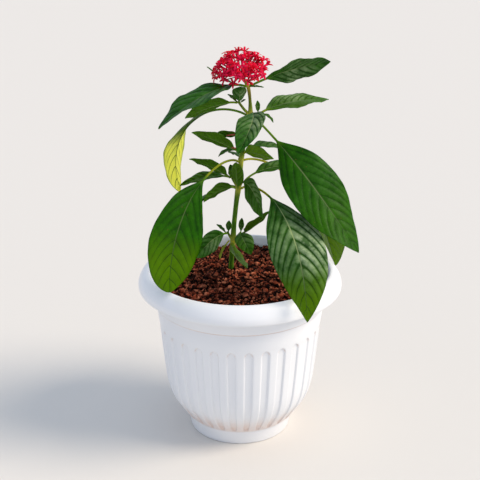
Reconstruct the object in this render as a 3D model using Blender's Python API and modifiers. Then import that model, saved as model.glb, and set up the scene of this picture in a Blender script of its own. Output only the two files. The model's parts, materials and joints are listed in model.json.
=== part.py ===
"""A pentas in a fluted nursery pot: the pot, its soil, the stem and its leaves and one head of star flowers.

Units are metres and +Z is up. The origin is the middle of the pot's flat underside.
"""

import math
import random

import bmesh
import bpy
from mathutils import Matrix, Vector

MM = 0.001
GAP = 0.3 * MM

# Pot: (height, radius) in mm, up the inside, over the rolled lip, then down the outside of the body.
POT_INSIDE = [(3, 0), (3, 49), (16, 51.3), (36, 64.5), (62, 73), (115, 78.3), (163, 87)]
POT_LIP = [(172.5, 90.5), (170, 95.5), (163.5, 100.6), (156, 101.75), (154.5, 100.4), (162.5, 98),
           (168, 92.6), (164.5, 88.7)]
POT_OUTSIDE = [(152, 87), (141, 86), (140, 84.9), (118, 81.5), (114, 81), (107, 80.3), (62, 75.8),
               (44, 72), (30, 64.8), (17.5, 56.5), (15, 53.8), (0, 50.8)]
POT_STEPS = 120
FLUTES = 30
SUNK_COLUMNS = (1, 2)
FLUTE_DEPTH = 1.5 * MM
FLUTE_BOTTOM = 17 * MM
FLUTE_FULL_HEIGHT = 107 * MM
FLUTE_TOP = 118 * MM
FLUTE_MIDDLE = 4.5
DRAIN_HOLES = 6
DRAIN_RADIUS = 4 * MM
DRAIN_CIRCLE = 30 * MM
DRILL_LENGTH = 12 * MM

SOIL_TOP = 163
SOIL_GAP = 0.5
SOIL_RINGS = [18, 36, 54, 72, 84]
SOIL_STEPS = 48
SOIL_UNEVEN = 1.4 * MM
FLAT_ROUND_STEM = 14 * MM

# The main stem, from the soil to the flower head: (x, y, z) and radius in mm. Leaves grow from the
# swollen nodes among these.
STEM = {
    "foot": ((-9, 21, 163.3), 3.0),
    "above_foot": ((-8.5, 20, 176), 2.7),
    "low": ((-7, 18, 195), 3.1),
    "above_low": ((-6, 16.5, 212), 2.6),
    "below_middle": ((-3.5, 14, 238), 2.6),
    "middle": ((-1.5, 12, 253), 3.1),
    "above_middle": ((0, 11, 264), 2.2),
    "upper": ((1, 10, 281), 2.7),
    "crowded": ((2.5, 9, 290), 2.4),
    "twig": ((5, 7.8, 307), 2.0),
    "fork": ((9.5, 6, 328), 2.5),
    "above_fork": ((9.5, 5, 343), 1.6),
    "collar": ((7.5, 4, 357), 1.9),
}
STEM_TOP_RADIUS = 1.5
STEM_POINTS = 3

# Side shoots: the row of the stem they leave, their end in mm, and their radius there.
SHOOTS = {
    "low_left": ("low", (-12, 17, 203), 1.2),
    "low_right": ("low", (0, 16, 203), 1.2),
    "mid_left": ("middle", (-8, 10, 264), 1.2),
    "mid_right": ("middle", (2, 8.5, 260), 1.2),
    "top_left": ("fork", (-1, 4, 341), 1.2),
    "top_right": ("fork", (18, 5, 330), 1.2),
}
SHOOT_SWELL = 1.3
SHOOT_TIP = 1

# Leaves. Angles are degrees and lengths mm: azimuth is where a leaf points (0 right, 90 back), sway
# its change of azimuth on the way to the tip, rise and droop its slope at each end, petiole the share
# of the length that is stalk, roll the turn of the blade about its midrib and twist the change in roll.
# Each grows from a row of the stem or from the end of a shoot:
# spot, azimuth, sway, rise, droop, length, width, petiole, roll, twist
LEAVES = {
    "leaf_big_right": ("fork", -45, 25, -20, -55, 168, 52, 0.20, -75, 60),
    "leaf_front_right": ("middle", -48, -33, 45, -75, 179, 52, 0.25, 25, -80),
    "leaf_front_left": ("upper", -130, 0, 45, -90, 170, 54, 0.30, 60, 10),
    "leaf_yellow_left": ("fork", 170, -30, 30, -115, 142, 44, 0.26, 0, 10),
    "leaf_back_right": ("upper", 44, -35, 8, -78, 190, 58, 0.30, 15, 0),
    "leaf_back_left": ("middle", 150, 10, 15, -80, 96, 24, 0.30, 10, 0),
    "leaf_upper_left": ("collar", -135, -25, 35, -40, 105, 38, 0.15, 5, -15),
    "leaf_upper_right": ("collar", 15, 0, 29, 5, 82, 28, 0.20, 50, 0),
    "leaf_shoot_left": ("top_left", -155, -5, 20, -25, 55, 22, 0.14, -45, -10),
    "leaf_shoot_right": ("top_right", 35, -5, 25, -10, 82, 33, 0.08, -15, 15),
    "leaf_front_centre": ("fork", -80, -35, 45, -30, 100, 26, 0.12, -15, 15),
    "leaf_crowded_left": ("crowded", -155, 0, 45, 20, 57, 19, 0.12, -45, 5),
    "leaf_crowded_small": ("crowded", 165, 10, 55, -50, 24, 8, 0.20, 15, 0),
    "leaf_crowded_front": ("crowded", -65, 20, 35, -5, 50, 18, 0.08, 70, -15),
    "leaf_crowded_back": ("crowded", 40, -20, 40, -30, 48, 16, 0.20, -10, 0),
    "leaf_middle_upper_left": ("mid_left", -150, -10, 52, 20, 50, 20, 0.10, -35, 5),
    "leaf_middle_back_left": ("mid_left", 160, 5, 15, -30, 56, 19, 0.12, 15, 0),
    "leaf_middle_left": ("middle", -145, 0, 40, -35, 40, 14, 0.12, -60, 0),
    "leaf_middle_back_right": ("mid_right", 20, 0, 55, -10, 55, 20, 0.25, -10, 0),
    "leaf_middle_front": ("middle", -95, 0, 60, 62, 38, 14, 0.10, 30, -10),
    "leaf_middle_right": ("mid_right", -68, 0, 35, -50, 58, 18, 0.06, -65, -20),
    "leaf_low_curled": ("low_right", -42, 0, 30, 50, 48, 18, 0.12, 10, -10),
    "leaf_low_right": ("low_right", -88, 35, 45, -45, 38, 12, 0.12, -15, 0),
    "leaf_low_left": ("low_left", -125, 5, 25, -25, 56, 20, 0.10, 70, 0),
    "leaf_low_front": ("low", -90, 30, -20, 0, 56, 18, 0.06, 35, 0),
    "leaf_low_yellow": ("low", 200, 0, -30, -75, 22, 9, 0.15, -40, 0),
    "leaf_low_bud_left": ("low_left", 165, 0, 50, 35, 13, 7, 0.10, 0, 0),
    "leaf_low_bud_front": ("low_left", 80, 0, 65, 75, 12, 6, 0.10, 0, 0),
    "leaf_low_bud_right": ("low_right", 70, 0, 70, 80, 15, 6, 0.10, 0, 0),
    "leaf_middle_bud_left": ("mid_left", -107, 0, 75, 60, 11, 5, 0.10, 0, 0),
    "leaf_middle_bud_top": ("mid_left", -40, 0, 75, 80, 15, 6, 0.10, 0, 0),
    "leaf_middle_bud_back": ("middle", 110, 0, 60, 30, 26, 10, 0.12, 0, 0),
    "leaf_upper_back": ("upper", 100, 0, 30, -30, 44, 16, 0.12, 0, 0),
    "leaf_twig_left": ("twig", 175, 0, 15, -10, 30, 10, 0.12, -60, 0),
    "leaf_top_upright": ("top_left", -80, 0, 75, 65, 19, 14, 0.12, 0, 0),
    "leaf_top_bud_left": ("top_left", 145, 0, 50, 20, 13, 6, 0.10, 0, 0),
    "leaf_top_bud_right": ("top_left", 30, 0, 35, 20, 6, 3, 0.10, 0, 0),
    "leaf_right_upright": ("top_right", 110, 0, 75, 85, 12, 5, 0.10, 0, 0),
    "leaf_right_droop": ("top_right", -15, 0, 25, -60, 16, 7, 0.10, 0, 0),
    "leaf_collar_bract": ("collar", -35, 0, 20, 0, 16, 6, 0.10, 20, 0),
    "leaf_collar_back": ("collar", 155, 0, -10, 35, 44, 10, 0.30, -20, 0),
}
# A leaf's slope goes from rise to droop as the share of its length to the power of bend, and its blade
# is broadest at the share belly.
BEND = 0.5
BENDS_LATER = {"leaf_yellow_left": 0.8}
BELLY = 0.5
BROADEST_LATER = {"leaf_front_left": 0.6}
BLADE_POWER = 1.75
FOLD = 10
PETIOLE_RADIUS = 1.1 * MM
BLADE_THICK = 0.7 * MM
SMALLEST_STALK = 0.5
FULL_STALK_LENGTH = 140
FLAT_FROM = 0.2
LONG_LEAF = 70
SHORT_LEAF = 30
LEAF_STEPS = 24
BLADE_ACROSS = (1, 0.5, 0, -0.5, -1, -0.5, 0, 0.5)

# Flower head: a dome of star florets on thin tubes, gathered in cymes round a knob.
DOME_CENTRE = Vector((1, 1, 368)) * MM
DOME_RADIUS = 28 * MM
KNOB_RADIUS = 5.5 * MM
CYME_RADIUS = 1.0 * MM
FLORET_RADIUS = 4.6 * MM
FLORET_WAIST = 1.9 * MM
FLORET_THICK = 0.9 * MM
TUBE_RADIUS = 0.6 * MM
TUBE_FLARE = 1.4
TUBE_SIDES = 5
TUBE_SPIN = 0.7
PETALS = 5
# Tilt from the top in degrees, florets on that ring, and the cymes that share them.
FLORET_RINGS = [(42, 12, 3), (62, 16, 4), (82, 16, 4)]
CROWN_TILT = 22
CROWN_FLORETS = 6
CROWN_TURN = 0.2


def clear_scene():
    for old in list(bpy.data.objects):
        bpy.data.objects.remove(old, do_unlink=True)


def collection(name):
    made = bpy.data.collections.new(name)
    bpy.context.scene.collection.children.link(made)
    return made


def material(name, colour, roughness, metallic=0.0):
    made = bpy.data.materials.new(name)
    made.use_nodes = True
    shader = made.node_tree.nodes["Principled BSDF"]
    shader.inputs["Base Color"].default_value = (*colour, 1)
    shader.inputs["Roughness"].default_value = roughness
    shader.inputs["Metallic"].default_value = metallic
    return made


def object_from(mesh, name, group, look, smooth=35):
    made = bpy.data.objects.new(name, mesh)
    group.objects.link(made)
    mesh.materials.clear()
    mesh.materials.append(look)
    mesh.shade_smooth()
    mesh.set_sharp_from_angle(angle=math.radians(smooth))
    return made


def mesh_from(bm, name):
    bmesh.ops.recalc_face_normals(bm, faces=bm.faces)
    mesh = bpy.data.meshes.new(name)
    bm.to_mesh(mesh)
    bm.free()
    return mesh


def evaluated_mesh(obj):
    """The object's mesh after its modifiers, with a curve's caps welded to its sides."""
    bpy.context.view_layer.update()
    graph = bpy.context.evaluated_depsgraph_get()
    mesh = bpy.data.meshes.new_from_object(obj.evaluated_get(graph))
    bm = bmesh.new()
    bm.from_mesh(mesh)
    bmesh.ops.remove_doubles(bm, verts=bm.verts, dist=0.001 * MM)
    bmesh.ops.recalc_face_normals(bm, faces=bm.faces)
    bm.to_mesh(mesh)
    bm.free()
    return mesh


def made_real(obj):
    """Replaces a curve or an object with modifiers by its plain mesh."""
    mesh = evaluated_mesh(obj)
    name = obj.name
    group = obj.users_collection[0]
    matrix = obj.matrix_world.copy()
    bpy.data.objects.remove(obj, do_unlink=True)
    real = bpy.data.objects.new(name, mesh)
    real.matrix_world = matrix
    group.objects.link(real)
    return real


def turned(points, steps, name, group):
    """A closed outline of (radius, height) in metres, turned about Z."""
    bm = bmesh.new()
    verts = [bm.verts.new((radius, 0, height)) for radius, height in points]
    for first, second in zip(verts, verts[1:]):
        bm.edges.new((first, second))
    if points[0][0] > 0:
        bm.edges.new((verts[-1], verts[0]))
    mesh = bpy.data.meshes.new(name)
    bm.to_mesh(mesh)
    bm.free()
    made = bpy.data.objects.new(name, mesh)
    group.objects.link(made)
    screw = made.modifiers.new("Turn", "SCREW")
    screw.steps = steps
    screw.render_steps = steps
    screw.use_merge_vertices = True
    screw.merge_threshold = 0.00001
    return made_real(made)


def flute_share(height):
    """How deep a flute is at a height: full on the body, fading out in an arch at its top."""
    if height < FLUTE_BOTTOM or height >= FLUTE_TOP:
        return 0
    if height <= FLUTE_FULL_HEIGHT:
        return 1
    return math.sqrt(1 - ((height - FLUTE_FULL_HEIGHT) / (FLUTE_TOP - FLUTE_FULL_HEIGHT)) ** 2)


def make_pot(parts, cutters, white):
    outline = POT_INSIDE + POT_LIP + POT_OUTSIDE + [(0, 0)]
    pot = turned([(radius * MM, height * MM) for height, radius in outline], POT_STEPS, "pot", parts)
    outside = dict(POT_OUTSIDE)
    for vert in pot.data.vertices:
        flat = Vector((vert.co.x, vert.co.y))
        radius = outside.get(round(vert.co.z / MM, 1))
        if radius is None or abs(flat.length - radius * MM) > 0.01 * MM:
            continue
        column = round(math.degrees(math.atan2(flat.y, flat.x)) * POT_STEPS / 360)
        if column % (POT_STEPS // FLUTES) in SUNK_COLUMNS:
            sunk = flat * (1 - FLUTE_DEPTH * flute_share(vert.co.z) / flat.length)
            vert.co.x, vert.co.y = sunk
    # The middle of a flute, between its two sunk columns, comes to lie on the X axis.
    pot.data.transform(Matrix.Rotation(-math.radians(FLUTE_MIDDLE), 4, "Z"))
    for k in range(DRAIN_HOLES):
        angle = 2 * math.pi * k / DRAIN_HOLES
        bm = bmesh.new()
        spot = Matrix.Translation((DRAIN_CIRCLE * math.cos(angle), DRAIN_CIRCLE * math.sin(angle), 0))
        bmesh.ops.create_cone(bm, cap_ends=True, segments=12, radius1=DRAIN_RADIUS,
                              radius2=DRAIN_RADIUS, depth=DRILL_LENGTH, matrix=spot)
        drill = bpy.data.objects.new(f"drain_cutter_{k}", mesh_from(bm, f"drain_cutter_{k}"))
        drill.hide_render = True
        drill.display_type = "WIRE"
        cutters.objects.link(drill)
        hole = pot.modifiers.new(f"Drain {k}", "BOOLEAN")
        hole.operation = "DIFFERENCE"
        hole.object = drill
    pot.data.materials.append(white)
    pot.data.shade_smooth()
    pot.data.set_sharp_from_angle(angle=math.radians(30))
    return pot


def inside_radius(height):
    """The pot's inner radius at a height, in mm."""
    rows = POT_INSIDE[1:] + [POT_LIP[0]]
    for (low, narrow), (high, wide) in zip(rows, rows[1:]):
        if height <= high:
            return narrow + (wide - narrow) * (height - low) / (high - low)
    return rows[-1][1]


def make_soil(parts, brown):
    floor, corner = POT_INSIDE[1]
    floor += GAP / MM
    heights = [row[0] for row in POT_INSIDE[2:-1]] + [SOIL_TOP]
    outline = [(0, floor), (corner - SOIL_GAP, floor)]
    outline += [(inside_radius(height) - SOIL_GAP, height) for height in heights]
    outline += [(ring, SOIL_TOP) for ring in SOIL_RINGS[::-1]] + [(0, SOIL_TOP)]
    soil = turned([(radius * MM, height * MM) for radius, height in outline], SOIL_STEPS, "soil", parts)
    chance = random.Random(7)
    foot = Vector(STEM["foot"][0]) * MM
    for vert in soil.data.vertices:
        flat = Vector((vert.co.x, vert.co.y, foot.z))
        on_top = abs(vert.co.z - SOIL_TOP * MM) < 0.01 * MM
        if on_top and (flat - foot).length > FLAT_ROUND_STEM:
            vert.co.z += chance.uniform(-SOIL_UNEVEN, SOIL_UNEVEN / 2)
    soil.data.materials.append(brown)
    soil.data.shade_smooth()
    soil.data.set_sharp_from_angle(angle=math.radians(60))
    return soil


def smooth_points(points, each):
    """Points on a smooth curve through the given ones, with `each` steps between neighbours."""
    ends = [points[0] * 2 - points[1]] + points + [points[-1] * 2 - points[-2]]
    found = []
    for a, b, c, d in zip(ends, ends[1:], ends[2:], ends[3:]):
        for k in range(each):
            t = k / each
            found.append(0.5 * (2 * b + (c - a) * t + (2 * a - 5 * b + 4 * c - d) * t * t
                                + (3 * b - a - 3 * c + d) * t ** 3))
    return found + [points[-1]]


def tube(points, name, group):
    """A closed tube through points that each hold x, y, z and radius in mm."""
    curve = bpy.data.curves.new(name, "CURVE")
    curve.dimensions = "3D"
    curve.bevel_depth = MM
    curve.bevel_resolution = 2
    curve.use_fill_caps = True
    spline = curve.splines.new("POLY")
    spline.points.add(len(points) - 1)
    for point, row in zip(spline.points, points):
        point.co = (*(row.xyz * MM), 1)
        point.radius = row.w
    made = bpy.data.objects.new(name, curve)
    group.objects.link(made)
    return made_real(made)


def make_stem(parts, cutters, green):
    collar = Vector(STEM["collar"][0]) * MM
    top = DOME_CENTRE + (collar - DOME_CENTRE).normalized() * (KNOB_RADIUS + GAP)
    rows = [Vector((*place, radius)) for place, radius in STEM.values()]
    rows.append(Vector((*(top / MM), STEM_TOP_RADIUS)))
    stem = tube(smooth_points(rows, STEM_POINTS), "stem", parts)
    for name, (row, end, radius) in SHOOTS.items():
        first = Vector((*STEM[row][0], radius * SHOOT_SWELL))
        last = Vector((*end, radius))
        onward = (last - first).xyz.normalized() * SHOOT_TIP
        tip = last + Vector((*onward, 0))
        shoot = tube([first, (first + last) / 2, tip], f"shoot_{name}", cutters)
        shoot.hide_render = True
        shoot.display_type = "WIRE"
        join = stem.modifiers.new(f"Join {name}", "BOOLEAN")
        join.operation = "UNION"
        join.object = shoot
    stem.data.materials.append(green)
    stem.data.shade_smooth()
    return stem


def carrier(spot):
    """The place in mm, and the radius there, of the stem's row or the shoot's end that a leaf grows from."""
    if spot in STEM:
        return STEM[spot]
    return SHOOTS[spot][1:]


def centreline(place, azimuth, sway, rise, droop, bend, length, steps):
    """Points, directions and level sideways axes along a leaf."""
    points = [Vector(place)]
    heads = []
    sides = []
    for k in range(2 * steps + 1):
        share = k / (2 * steps)
        turn = math.radians(azimuth + sway * share)
        slope = math.radians(rise + (droop - rise) * share ** bend)
        head = Vector((math.cos(slope) * math.cos(turn), math.cos(slope) * math.sin(turn), math.sin(slope)))
        if k % 2:
            points.append(points[-1] + head * length / steps)
        else:
            heads.append(head)
            sides.append(Vector((math.sin(turn), -math.cos(turn), 0)))
    return points, heads, sides


def blade_share(share, belly):
    """Half width of a blade, 0 to 1, at a share of its length from the stalk to the tip."""
    rising = BLADE_POWER * belly
    falling = BLADE_POWER * (1 - belly)
    return (share ** rising * (1 - share) ** falling) / (belly ** rising * (1 - belly) ** falling)


def leaf_sections(petiole, length):
    """Shares of a leaf's length at which its loft has a section."""
    if length > LONG_LEAF:
        blade = [0.06, 0.14, 0.24, 0.35, 0.46, 0.57, 0.68, 0.78, 0.88, 0.96]
        stalk = [0, 0.4, 0.75]
    elif length > SHORT_LEAF:
        blade = [0.1, 0.3, 0.52, 0.74, 0.92]
        stalk = [0, 0.6]
    else:
        blade = [0.2, 0.5, 0.8]
        stalk = [0]
    return [petiole * at for at in stalk] + [petiole + (1 - petiole) * at for at in blade]


def make_leaf(name, row, parts, look):
    spot, azimuth, sway, rise, droop, length, width, petiole, roll, twist = row
    place, carrier_radius = carrier(spot)
    scale = min(1, SMALLEST_STALK + length / FULL_STALK_LENGTH)
    stalk_radius = PETIOLE_RADIUS * scale
    thick = BLADE_THICK * scale
    tilt = math.radians(rise)
    reach = carrier_radius * MM + GAP + stalk_radius * abs(math.sin(tilt))
    turn = math.radians(azimuth)
    start = Vector(place) * MM + Vector((math.cos(turn), math.sin(turn), 0)) * reach
    bend = BENDS_LATER.get(name, BEND)
    belly = BROADEST_LATER.get(name, BELLY)
    points, heads, sides = centreline(start, azimuth, sway, rise, droop, bend, length * MM, LEAF_STEPS)
    bm = bmesh.new()
    rings = []
    for share in leaf_sections(petiole, length):
        at = min(int(share * LEAF_STEPS), LEAF_STEPS - 1)
        part = share * LEAF_STEPS - at
        centre = points[at].lerp(points[at + 1], part)
        head = heads[at].lerp(heads[at + 1], part).normalized()
        side = sides[at].lerp(sides[at + 1], part).normalized()
        side = Matrix.Rotation(-math.radians(roll + twist * share), 3, head) @ side
        up = side.cross(head)
        along = max(0, (share - petiole) / (1 - petiole))
        half = max(stalk_radius, width / 2 * MM * blade_share(along, belly))
        flat = min(1, along / FLAT_FROM)
        rib = stalk_radius + (thick / 2 - stalk_radius) * flat
        ring = []
        for k, blade_across in enumerate(BLADE_ACROSS):
            angle = math.pi * k / 4
            lift = math.sin(angle)
            across = math.cos(angle)
            across += (blade_across - across) * flat
            rise_of_edge = abs(across) * half * math.tan(math.radians(FOLD)) * flat
            ring.append(bm.verts.new(centre + side * across * half + up * (lift * rib + rise_of_edge)))
        rings.append(ring)
    # The upper and lower sheets are split along the same diagonals, so the thin walls never cross.
    for first, second in zip(rings, rings[1:]):
        for k in range(8):
            if k in (1, 2, 5, 6):
                bm.faces.new((first[k], first[k - 1], second[k - 1]))
                bm.faces.new((first[k], second[k - 1], second[k]))
            else:
                bm.faces.new((first[k], first[k - 1], second[k]))
                bm.faces.new((first[k - 1], second[k - 1], second[k]))
    bm.faces.new(rings[0])
    tip = bm.verts.new(points[-1])
    for k in range(8):
        bm.faces.new((rings[-1][k], rings[-1][k - 1], tip))
    return object_from(mesh_from(bm, name), name, parts, look, 40)


def star(place, outward):
    """One floret: a flat five-petal star facing outward, as a bmesh."""
    turn = outward.to_track_quat("Z", "Y").to_matrix().to_4x4()
    bm = bmesh.new()
    top = []
    bottom = []
    for k in range(2 * PETALS):
        angle = math.pi * k / PETALS
        radius = FLORET_WAIST if k % 2 else FLORET_RADIUS
        ring_point = Vector((radius * math.cos(angle), radius * math.sin(angle), 0))
        top.append(bm.verts.new(ring_point + Vector((0, 0, FLORET_THICK / 2))))
        bottom.append(bm.verts.new(ring_point - Vector((0, 0, FLORET_THICK / 2))))
    bm.faces.new(top)
    bm.faces.new(bottom[::-1])
    for k in range(2 * PETALS):
        bm.faces.new((top[k - 1], bottom[k - 1], bottom[k], top[k]))
    bmesh.ops.transform(bm, verts=bm.verts, matrix=Matrix.Translation(place) @ turn)
    return mesh_from(bm, "floret")


def dome_direction(tilt, turn):
    across = math.sin(math.radians(tilt))
    return Vector((across * math.cos(math.radians(turn)), across * math.sin(math.radians(turn)),
                   math.cos(math.radians(tilt))))


def make_cyme(name, middle, directions, parts, cutters, red):
    """A small ball at the knob that carries one tube and one star for each direction."""
    root = DOME_CENTRE + middle.normalized() * (KNOB_RADIUS + GAP + CYME_RADIUS)
    bm = bmesh.new()
    bmesh.ops.create_icosphere(bm, subdivisions=1, radius=CYME_RADIUS, matrix=Matrix.Translation(root))
    cyme = object_from(mesh_from(bm, name), name, parts, red)
    for k, direction in enumerate(directions):
        place = DOME_CENTRE + direction * DOME_RADIUS
        stalk = place - root
        helpers = [star(place, direction)]
        bm = bmesh.new()
        spin = stalk.to_track_quat("Z", "Y").to_matrix().to_4x4() @ Matrix.Rotation(TUBE_SPIN * k, 4, "Z")
        at = Matrix.Translation(root.lerp(place, 0.5))
        bmesh.ops.create_cone(bm, cap_ends=True, segments=TUBE_SIDES, radius1=TUBE_RADIUS,
                              radius2=TUBE_RADIUS * TUBE_FLARE, depth=stalk.length, matrix=at @ spin)
        helpers.append(mesh_from(bm, "tube"))
        for mesh in helpers:
            helper = bpy.data.objects.new(f"{name}_{mesh.name}", mesh)
            helper.hide_render = True
            helper.display_type = "WIRE"
            cutters.objects.link(helper)
            join = cyme.modifiers.new(f"Join {k}", "BOOLEAN")
            join.operation = "UNION"
            join.object = helper
    return cyme


def make_flower_head(parts, cutters, green, red):
    bm = bmesh.new()
    bmesh.ops.create_uvsphere(bm, u_segments=16, v_segments=10, radius=KNOB_RADIUS,
                              matrix=Matrix.Translation(DOME_CENTRE))
    object_from(mesh_from(bm, "flower_knob"), "flower_knob", parts, green)
    crown = [dome_direction(CROWN_TILT, 360 * (k + CROWN_TURN) / CROWN_FLORETS) for k in range(CROWN_FLORETS)]
    crown.append(Vector((0, 0, 1)))
    make_cyme("flowers_crown", Vector((0, 0, 1)), crown, parts, cutters, red)
    for tilt, florets, cymes in FLORET_RINGS:
        share = florets // cymes
        for c in range(cymes):
            turns = [360 * (c * share + k + 0.5) / florets for k in range(share)]
            directions = [dome_direction(tilt, turn) for turn in turns]
            middle = dome_direction(tilt, sum(turns) / share)
            make_cyme(f"flowers_{tilt}_{c + 1}", middle, directions, parts, cutters, red)


def main():
    clear_scene()
    parts = collection("potted_pentas")
    cutters = collection("cutters")
    make_pot(parts, cutters, material("pot_white", (0.86, 0.87, 0.88), 0.35))
    make_soil(parts, material("soil_brown", (0.06, 0.02, 0.012), 0.95))
    stem_green = material("stem_green", (0.1, 0.2, 0.03), 0.5)
    make_stem(parts, cutters, stem_green)
    leaf_green = material("leaf_green", (0.04, 0.13, 0.02), 0.45)
    leaf_yellow = material("leaf_yellow", (0.6, 0.62, 0.06), 0.5)
    for name, row in LEAVES.items():
        make_leaf(name, row, parts, leaf_yellow if name == "leaf_yellow_left" else leaf_green)
    make_flower_head(parts, cutters, stem_green, material("flower_red", (0.62, 0.005, 0.03), 0.5))


main()
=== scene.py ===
"""Potted pentas: the looks of the pot, the soil, the stem, the leaves and the flower head.

Laid out as an add-on. It is run as a script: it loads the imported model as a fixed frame, builds the fine
pieces in its place and sets up a plain studio.
"""

import collections
import json
import math

import bmesh
import bpy
import numpy as np
from mathutils import Matrix, Vector
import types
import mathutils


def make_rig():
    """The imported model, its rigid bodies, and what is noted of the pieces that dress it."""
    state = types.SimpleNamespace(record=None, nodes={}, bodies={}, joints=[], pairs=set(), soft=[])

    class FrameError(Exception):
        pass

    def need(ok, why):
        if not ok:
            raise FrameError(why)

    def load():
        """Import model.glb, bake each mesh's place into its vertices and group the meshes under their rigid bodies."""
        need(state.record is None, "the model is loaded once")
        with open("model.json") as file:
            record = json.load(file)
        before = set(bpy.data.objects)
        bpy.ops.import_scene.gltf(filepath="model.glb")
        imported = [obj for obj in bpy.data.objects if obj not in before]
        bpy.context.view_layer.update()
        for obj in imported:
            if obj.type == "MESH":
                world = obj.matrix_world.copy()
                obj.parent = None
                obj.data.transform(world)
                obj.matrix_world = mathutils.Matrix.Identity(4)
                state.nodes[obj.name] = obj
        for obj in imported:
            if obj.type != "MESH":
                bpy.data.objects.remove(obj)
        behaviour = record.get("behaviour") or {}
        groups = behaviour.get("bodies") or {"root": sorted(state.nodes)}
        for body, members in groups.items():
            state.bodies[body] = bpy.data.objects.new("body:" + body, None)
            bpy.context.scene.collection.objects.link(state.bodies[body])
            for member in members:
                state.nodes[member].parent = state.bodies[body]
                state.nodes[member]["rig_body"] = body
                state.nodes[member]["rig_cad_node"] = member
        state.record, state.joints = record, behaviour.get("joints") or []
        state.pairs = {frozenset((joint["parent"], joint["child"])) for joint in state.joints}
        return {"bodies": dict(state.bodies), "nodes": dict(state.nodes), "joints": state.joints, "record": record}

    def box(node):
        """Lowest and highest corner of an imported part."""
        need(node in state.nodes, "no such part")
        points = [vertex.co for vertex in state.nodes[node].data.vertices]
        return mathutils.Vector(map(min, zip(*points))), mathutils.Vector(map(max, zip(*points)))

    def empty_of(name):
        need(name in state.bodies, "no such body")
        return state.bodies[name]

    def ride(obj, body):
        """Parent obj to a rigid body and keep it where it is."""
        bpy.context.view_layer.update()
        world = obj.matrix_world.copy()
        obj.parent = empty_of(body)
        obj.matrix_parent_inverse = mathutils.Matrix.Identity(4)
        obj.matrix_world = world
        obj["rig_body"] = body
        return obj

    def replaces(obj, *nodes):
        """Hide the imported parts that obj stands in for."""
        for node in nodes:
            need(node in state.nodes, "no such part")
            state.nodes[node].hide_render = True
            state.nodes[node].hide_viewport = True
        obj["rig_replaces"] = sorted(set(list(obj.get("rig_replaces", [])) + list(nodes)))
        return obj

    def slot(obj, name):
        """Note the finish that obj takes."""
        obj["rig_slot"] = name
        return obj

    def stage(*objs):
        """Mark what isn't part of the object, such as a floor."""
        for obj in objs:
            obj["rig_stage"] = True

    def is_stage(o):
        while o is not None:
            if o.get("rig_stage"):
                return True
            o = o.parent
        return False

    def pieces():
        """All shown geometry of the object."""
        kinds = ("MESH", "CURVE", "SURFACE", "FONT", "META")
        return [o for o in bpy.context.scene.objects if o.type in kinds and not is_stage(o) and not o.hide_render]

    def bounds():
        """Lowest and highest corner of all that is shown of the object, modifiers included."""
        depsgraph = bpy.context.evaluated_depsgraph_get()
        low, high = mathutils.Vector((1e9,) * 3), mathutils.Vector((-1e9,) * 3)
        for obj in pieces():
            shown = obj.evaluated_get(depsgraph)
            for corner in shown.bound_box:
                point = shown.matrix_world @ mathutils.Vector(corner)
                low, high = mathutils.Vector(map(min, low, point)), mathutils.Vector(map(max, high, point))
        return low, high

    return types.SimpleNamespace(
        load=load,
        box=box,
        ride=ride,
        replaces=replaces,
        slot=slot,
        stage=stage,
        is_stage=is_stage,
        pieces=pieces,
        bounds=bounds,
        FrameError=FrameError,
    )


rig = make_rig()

bl_info = {
    "name": "Potted Pentas",
    "version": (1, 0, 0),
    "blender": (4, 5, 0),
    "location": "View3D > Sidebar > Pentas",
    "description": "Builds a red pentas in a fluted white nursery pot",
    "category": "Add Mesh",
}

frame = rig.load()
CAD_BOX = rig.bounds()

# The pot's height in mm on the drawing, which makes every size below follow the frame's pot.
POT_HEIGHT = 172.5
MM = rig.box("pot")[1].z / POT_HEIGHT
BODY = "root"

# Pot: (height, radius) in mm, up the inside, over the rolled lip, then down the outside of the body.
POT_INSIDE = [(3, 0), (3, 47), (4.5, 49.5), (16, 51.3), (36, 64.5), (62, 73), (115, 78.3), (163, 87),
              (169, 88.4), (172, 89.6)]
POT_LIP = [(172.5, 91), (171.8, 93.2), (169.6, 96.2), (166, 99), (161.5, 101.2), (157.5, 101.7),
           (155.3, 101.3), (154.6, 100.3), (155.6, 99.2), (162, 97.6), (166.6, 93.6), (166.4, 91),
           (163.5, 88.9)]
POT_COLLAR = [(152, 87.3), (139.4, 85.8), (138.6, 85.6), (138.3, 85.1), (138.1, 84), (137.4, 83.8),
              (136.7, 84.1)]
POT_OUTSIDE = [(124, 82.35), (112, 80.85), (88, 78.6), (62, 75.8), (52, 74.2), (44, 72), (36.5, 68.8),
               (30, 64.8), (23, 60), (18.4, 57)]
POT_FOOT = [(17, 55.4), (16, 54), (14.6, 53.6), (2, 51.2), (0.5, 50.6), (0, 49.6)]
POT_STEPS = 600
# Heights in mm between which the red dust and painted warm bounce light above the foot set in and thin
# out, and of the step below the collar, which holds a thin line of painted shade.
DUST_AND_BOUNCE_SETS_IN = (14.5, 16.5)
DUST_AND_BOUNCE_THINS = (16, 42)
COLLAR_STEP = 137.9

# The main stem, from the soil to the flower head: (x, y, z) and radius in mm.
STEM = {
    "foot": ((-9, 21, 163.3), 3.0),
    "above_foot": ((-8.5, 20, 176), 2.7),
    "low": ((-7, 18, 195), 3.1),
    "above_low": ((-6, 16.5, 212), 2.6),
    "below_middle": ((-3.5, 14, 238), 2.6),
    "middle": ((-1.5, 12, 253), 3.1),
    "above_middle": ((0, 11, 264), 2.2),
    "upper": ((1, 10, 281), 2.7),
    "crowded": ((2.5, 9, 290), 2.4),
    "twig": ((5, 7.8, 307), 2.0),
    "fork": ((9.5, 6, 328), 2.5),
    "above_fork": ((9.5, 5, 343), 1.6),
    "collar": ((7.5, 4, 357), 1.9),
}
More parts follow.
